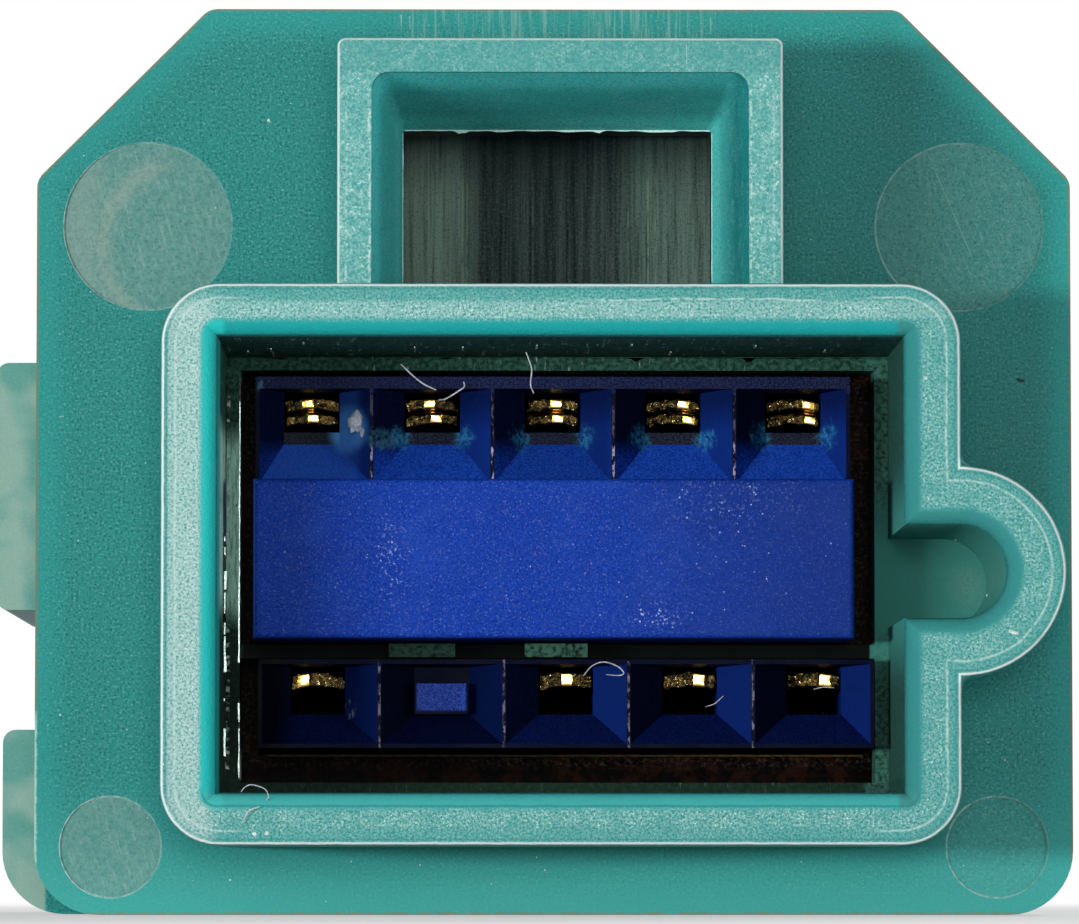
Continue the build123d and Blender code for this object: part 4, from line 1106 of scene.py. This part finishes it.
bm = bmesh.new()
flash_line(
    bm,
    (CATCH_LEFT + 0.04, CATCH_TOP + 0.03),
    (CATCH_RIGHT + 0.02, CATCH_TOP + 0.03),
    (0, -1),
    0.085,
    ((0.18, 0.08, 0.012), (0.2, 0.05, 0.006), (0.3, 0.03, 0.02), (0.63, 0.07, 0.012), (0.87, 0.03, 0.01)),
)
flash_line(bm, (CATCH_LEFT, CATCH_TOP), (CATCH_LEFT, CATCH_LOW), (1, 0), 0.028, count=40)
flash_line(bm, (CATCH_RIGHT, CATCH_TOP), (CATCH_RIGHT, CATCH_LOW), (-1, 0), 0.022, count=40)
mesh_piece("catch_window_flash", bm, flash_white, "housing")

bm = bmesh.new()
flash_line(
    bm,
    (FLASH_LEFT, CAVITY_BOTTOM),
    (CAVITY_RIGHT, CAVITY_BOTTOM),
    (0, 1),
    0.035,
    ((0.02, 0.05, 0.004), (0.05, 0.05, 0.003), (0.42, 0.04, 0.003)),
)
flash_line(
    bm,
    (FLASH_LEFT, CAVITY_TOP),
    (CAVITY_RIGHT, CAVITY_TOP),
    (0, -1),
    0.02,
    (
        (0.08, 0.06, 0.004), (0.33, 0.08, 0.004), (0.62, 0.14, 0.006), (0.79, 0.13, 0.006),
        (0.86, 0.05, 0.004),
    ),
    160,
)
mesh_piece("cavity_edge_flash", bm, flash_white, "housing")

# Painted glints: parting-line flash and streaks on the cavity's left wall, ledge and top wall, in a
# metallic white that mirrors the white world
glint_white = flat_shade("glint_white", (238, 250, 244), (160, 204, 190), 0.3, Metallic=0.7)
bm = bmesh.new()
for high, low, width in (
    (11.1, 10.95, 0.03), (10.78, 10.55, 0.05), (10.07, 9.54, 0.08), (9.45, 8.83, 0.05), (8.56, 8.21, 0.07),
    (8.16, 7.12, 0.09), (6.33, 6.26, 0.04), (5.45, 4.65, 0.06),
):
    flash_line(
        bm, (CAVITY_LEFT, high), (CAVITY_LEFT, low), (1, 0), width, count=max(6, int((high - low) * 14)),
        y=-1.8,
    )
for high, low, width in (
    (15.2, 13.1, 0.03), (13.0, 10.4, 0.04), (10.3, 7.45, 0.05), (6.25, 5.7, 0.05), (5.5, 4.05, 0.04),
):
    flash_line(
        bm, (CAVITY_LEFT + LEDGE, high), (CAVITY_LEFT + LEDGE, low), (-1, 0), width, count=40, y=-0.04
    )
for x, start, end in (
    (-8.3, -3.2, -0.3), (-7.3, -5.5, -4.8), (-4.1, -4.0, -2.2), (-2.7, -4.0, -2.9), (-0.55, -4.6, -3.4),
    (2.2, -5.0, -4.4), (3.4, -2.2, -1.2), (5.8, -4.6, -3.8), (7.9, -3.0, -2.3), (-9.0, -2.4, -1.6),
):
    streak = [
        Vector((x + 0.02 * math.sin(5 * t), start + (end - start) * t / 6, CAVITY_TOP)) for t in range(7)
    ]
    tube(bm, streak, 0.02, 6)
mesh_piece("ledge_glints", bm, glint_white, "housing")

FIBRES = (
    (-2.1, 0.022, ((-4.52, 16.14), (-4.15, 15.79), (-3.84, 15.55), (-3.49, 15.39))),
    (-1.7, 0.022, ((-2.68, 15.66), (-2.66, 15.52), (-2.8, 15.4), (-3.2, 15.16), (-3.4, 15.12))),
    (-1.9, 0.02, ((-0.93, 16.73), (-0.76, 16.29), (-0.68, 15.99), (-0.71, 15.56), (-0.62, 15.3))),
    (
        -1.75,
        0.018,
        ((0.84, 7.01), (1.1, 7.3), (1.43, 7.41), (1.82, 7.3), (2.02, 7.1), (1.9, 7.02), (1.5, 7.04)),
    ),
    (RIM_Y - 0.14, 0.018, ((-8.95, 2.62), (-8.8, 2.92), (-8.66, 3.03), (-8.44, 3.1))),
    (-8.0, 0.014, ((-8.98, 3.52), (-8.86, 3.66), (-8.67, 3.72), (-8.32, 3.61), (-8.2, 3.4), (-8.27, 3.26))),
    (-1.62, 0.012, ((4.42, 6.1), (4.7, 6.2), (4.95, 6.42))),
    (-1.62, 0.012, ((7.6, 6.62), (7.9, 6.68), (8.2, 6.66))),
)
bm = bmesh.new()
for y, radius, points in FIBRES:
    loose = [Vector((x, y + 0.12 * math.sin(3 * i), z)) for i, (x, z) in enumerate(points)]
    tube(bm, smooth_path(loose, 8), lambda t, r=radius: r * (0.75 + 0.35 * math.sin(math.pi * t)), 6)
mesh_piece("lint_fibres", bm, fibre_grey, "housing")


def speck(bm, place, size, flat=0.4, detail=2):
    """An irregular grain that lies on a surface which faces the connector side."""
    made = bmesh.ops.create_icosphere(bm, subdivisions=detail, radius=1.0)["verts"]
    seed = Vector((random.random() * 40, random.random() * 40, random.random() * 40))
    sizes = size if isinstance(size, tuple) else (size, size)
    turn = random.uniform(-0.6, 0.6) if not isinstance(size, tuple) else 0.25
    for vert in made:
        rough = 1 + 0.45 * noise.noise(vert.co * 1.6 + seed)
        local = Vector((vert.co.x * sizes[0], vert.co.y * min(sizes) * flat, vert.co.z * sizes[1])) * rough
        vert.co = Vector(place) + Matrix.Rotation(turn, 3, "Y") @ local


bm = bmesh.new()
for place, size in (
    ((-8.48, 0.0, 23.57), 0.05), ((-14.6, 0.0, 5.9), 0.03), ((-3.96, 0.0, 1.47), 0.025),
    ((-0.27, 0.0, 1.32), 0.025), ((-9.57, 0.0, 1.03), 0.03), ((13.34, 0.0, 4.57), 0.025),
    ((10.25, 0.0, 16.3), 0.035), ((9.94, 0.0, 8.18), 0.07), ((11.87, -0.6, 11.08), 0.04),
    ((12.75, -1.2, 9.4), 0.035), ((12.98, RIM_Y, 8.05), (0.17, 0.05)), ((-11.2, RIM_Y, 4.3), 0.035),
    ((-8.6, RIM_Y, 2.32), 0.06), ((-8.25, RIM_Y, 2.34), 0.06), ((10.5, RIM_Y, 15.3), 0.05),
):
    speck(bm, place, size)
for _ in range(150):
    x, z = random.uniform(-15, 15), random.uniform(0.3, 26.5)
    in_port = abs(x - PORT_X) < PORT_HALF[0] + 0.2 and abs(z - PORT_Z) < PORT_HALF[1] + 0.2
    in_key = math.hypot(x - KEY_X, z - KEY_Z) < KEY_OUTER + 0.2
    in_pocket = abs(x - PORT_X) < POCKET_HALF + 0.2 and z > PORT_Z
    if in_port or in_key or in_pocket or abs(x) + z > CASE_HALF + CASE_TOP - CORNER_CUT - 0.4:
        continue
    speck(bm, (x, 0.0, z), random.uniform(0.008, 0.022))
mesh_piece("pale_dust", bm, dust_pale, "housing")

bm = bmesh.new()
for place, size in (
    ((13.85, 0.0, 15.84), (0.12, 0.05)), ((-9.4, 0.0, 12.1), 0.03), ((14.4, 0.0, 21.9), 0.02),
):
    speck(bm, place, size)
mesh_piece("dark_grit", bm, grit_dark, "housing")

bm = bmesh.new()
for place, size, count, spread in (
    ((4.9, 12.2), 0.028, 22, 0.9), ((3.0, 8.75), 0.028, 14, 0.4), ((-4.7, 10.6), 0.024, 12, 0.4),
    ((1.5, 9.5), 0.02, 20, 2.6), ((5.5, 10.0), 0.018, 22, 1.6), ((-6.5, 9.4), 0.016, 12, 1.4),
):
    for _ in range(count):
        x, z = place[0] + random.gauss(0, spread), place[1] + random.gauss(0, spread * 0.5)
        if abs(x) < 8.5 and 8.2 < z < 12.5:
            speck(bm, (x, BAR_Y, z), size * random.uniform(0.5, 1.2))
mesh_piece("bar_dust", bm, dust_blue, "housing")

bm = bmesh.new()
speck(bm, (-5.84, -1.2, 14.5), (0.23, 0.3), flat=0.5, detail=4)
speck(bm, (-5.62, -1.25, 14.22), (0.11, 0.17), flat=0.6, detail=3)
mesh_piece("plastic_chip", bm, chip_haze, "housing")

bm = bmesh.new()
for x, z, length, y in (
    (3.72, 24.8, 0.62, POCKET_Y), (-4.56, 26.55, 0.36, 0.0), (-4.3, 26.5, 0.4, 0.0), (4.66, 26.4, 0.5, 0.0),
):
    flash_line(bm, (x, z + length / 2), (x + 0.01, z - length / 2), (1, 0), 0.026, count=12, y=y - 0.01)
scratch_pale = flat_shade("scratch_pale", (170, 214, 208), (120, 182, 176), 0.5)
mesh_piece("edge_scratches", bm, scratch_pale, "housing")


# ---------------------------------------------------------------- stage, light and camera
WORLD_LIGHT = 0.14
FLOOR_REACH = 2.0  # metres from the middle to an edge


def floor():
    """A grey floor that catches the shadow and fades to white away from the part."""
    g = Graph("pale_floor")
    light_path = g.tree.nodes.new("ShaderNodeLightPath")
    diffuse = g.tree.nodes.new("ShaderNodeBsdfDiffuse")
    diffuse.inputs["Color"].default_value = (0.86, 0.86, 0.86, 1)
    white = g.tree.nodes.new("ShaderNodeEmission")
    seen = g.high(
        light_path.outputs["Is Camera Ray"],
        g.high(light_path.outputs["Is Glossy Ray"], light_path.outputs["Is Transmission Ray"]),
    )
    away = g.lengths(g.x, g.y - 15.0)
    share = seen * g.step(away, 20.0, 140.0, 0.5, 1.0)
    both = g.tree.nodes.new("ShaderNodeMixShader")
    g.feed(both.inputs[0], share)
    g.feed(both.inputs[1], diffuse.outputs[0])
    g.feed(both.inputs[2], white.outputs[0])
    out = g.tree.nodes.new("ShaderNodeOutputMaterial")
    g.tree.links.new(both.outputs[0], out.inputs["Surface"])
    mesh = bpy.data.meshes.new("floor")
    corners = [(x * FLOOR_REACH, y * FLOOR_REACH, 0) for x, y in ((-1, -1), (1, -1), (1, 1), (-1, 1))]
    mesh.from_pydata(corners, [], [(0, 1, 2, 3)])
    plane = bpy.data.objects.new("floor", mesh)
    plane.location.z = -0.02 * MM
    mesh.materials.append(g.material)
    bpy.context.scene.collection.objects.link(plane)


def world():
    """A dim white world that shows as full white to the camera, to mirrors and through glass."""
    made = bpy.data.worlds.new("studio")
    bpy.context.scene.world = made
    made.use_nodes = True
    tree = made.node_tree
    tree.nodes.clear()
    light_path = tree.nodes.new("ShaderNodeLightPath")

    def background(strength):
        shade = tree.nodes.new("ShaderNodeBackground")
        shade.inputs["Color"].default_value = (1, 1, 1, 1)
        shade.inputs["Strength"].default_value = strength
        return shade

    def either(a, b):
        higher = tree.nodes.new("ShaderNodeMath")
        higher.operation = "MAXIMUM"
        tree.links.new(a, higher.inputs[0])
        tree.links.new(b, higher.inputs[1])
        return higher.outputs[0]

    plain, shown = background(WORLD_LIGHT), background(1.0)
    sharp = either(light_path.outputs["Is Glossy Ray"], light_path.outputs["Is Transmission Ray"])
    seen = either(light_path.outputs["Is Camera Ray"], sharp)
    both = tree.nodes.new("ShaderNodeMixShader")
    tree.links.new(seen, both.inputs[0])
    tree.links.new(plain.outputs[0], both.inputs[1])
    tree.links.new(shown.outputs[0], both.inputs[2])
    out = tree.nodes.new("ShaderNodeOutputWorld")
    tree.links.new(both.outputs[0], out.inputs["Surface"])


def aim(thing, place, target):
    thing.location = place
    thing.rotation_euler = (Vector(target) - Vector(place)).to_track_quat("-Z", "Y").to_euler()
    bpy.context.scene.collection.objects.link(thing)


def lamp(name, place, target, size, power, glossy=True):
    light = bpy.data.lights.new(name, "AREA")
    light.shape = "RECTANGLE"
    light.size, light.size_y = size
    light.energy = power
    made = bpy.data.objects.new(name, light)
    made.visible_camera = False
    made.visible_glossy = glossy
    aim(made, place, target)


def camera():
    data = bpy.data.cameras.new("camera")
    data.sensor_width = 36
    data.lens = 225.5
    data.clip_start = 0.01
    data.clip_end = 10
    made = bpy.data.objects.new("camera", data)
    aim(made, (-0.0025, -0.2, 0.0009), (-0.00043, 0, 0.0134))
    bpy.context.scene.camera = made


floor()
world()
lamp("key", (-0.13, -0.3, 0.12), (0, 0, 0.012), (0.13, 0.13), 0.06, glossy=False)
lamp("front", (0.004, -0.31, 0.024), (0, 0, 0.012), (0.05, 0.05), 0.16)
lamp("side", (-0.16, -0.18, 0.008), (0, 0, 0.008), (0.1, 0.015), 0.38, glossy=False)
lamp("fill", (0.19, -0.12, 0.013), (0, 0, 0.012), (0.06, 0.02), 0.11, glossy=False)
lamp("back", (0.14, 0.34, 0.2), (0, 0.02, 0.013), (0.2, 0.2), 0.9)
camera()
bpy.context.scene.view_settings.view_transform = "Standard"
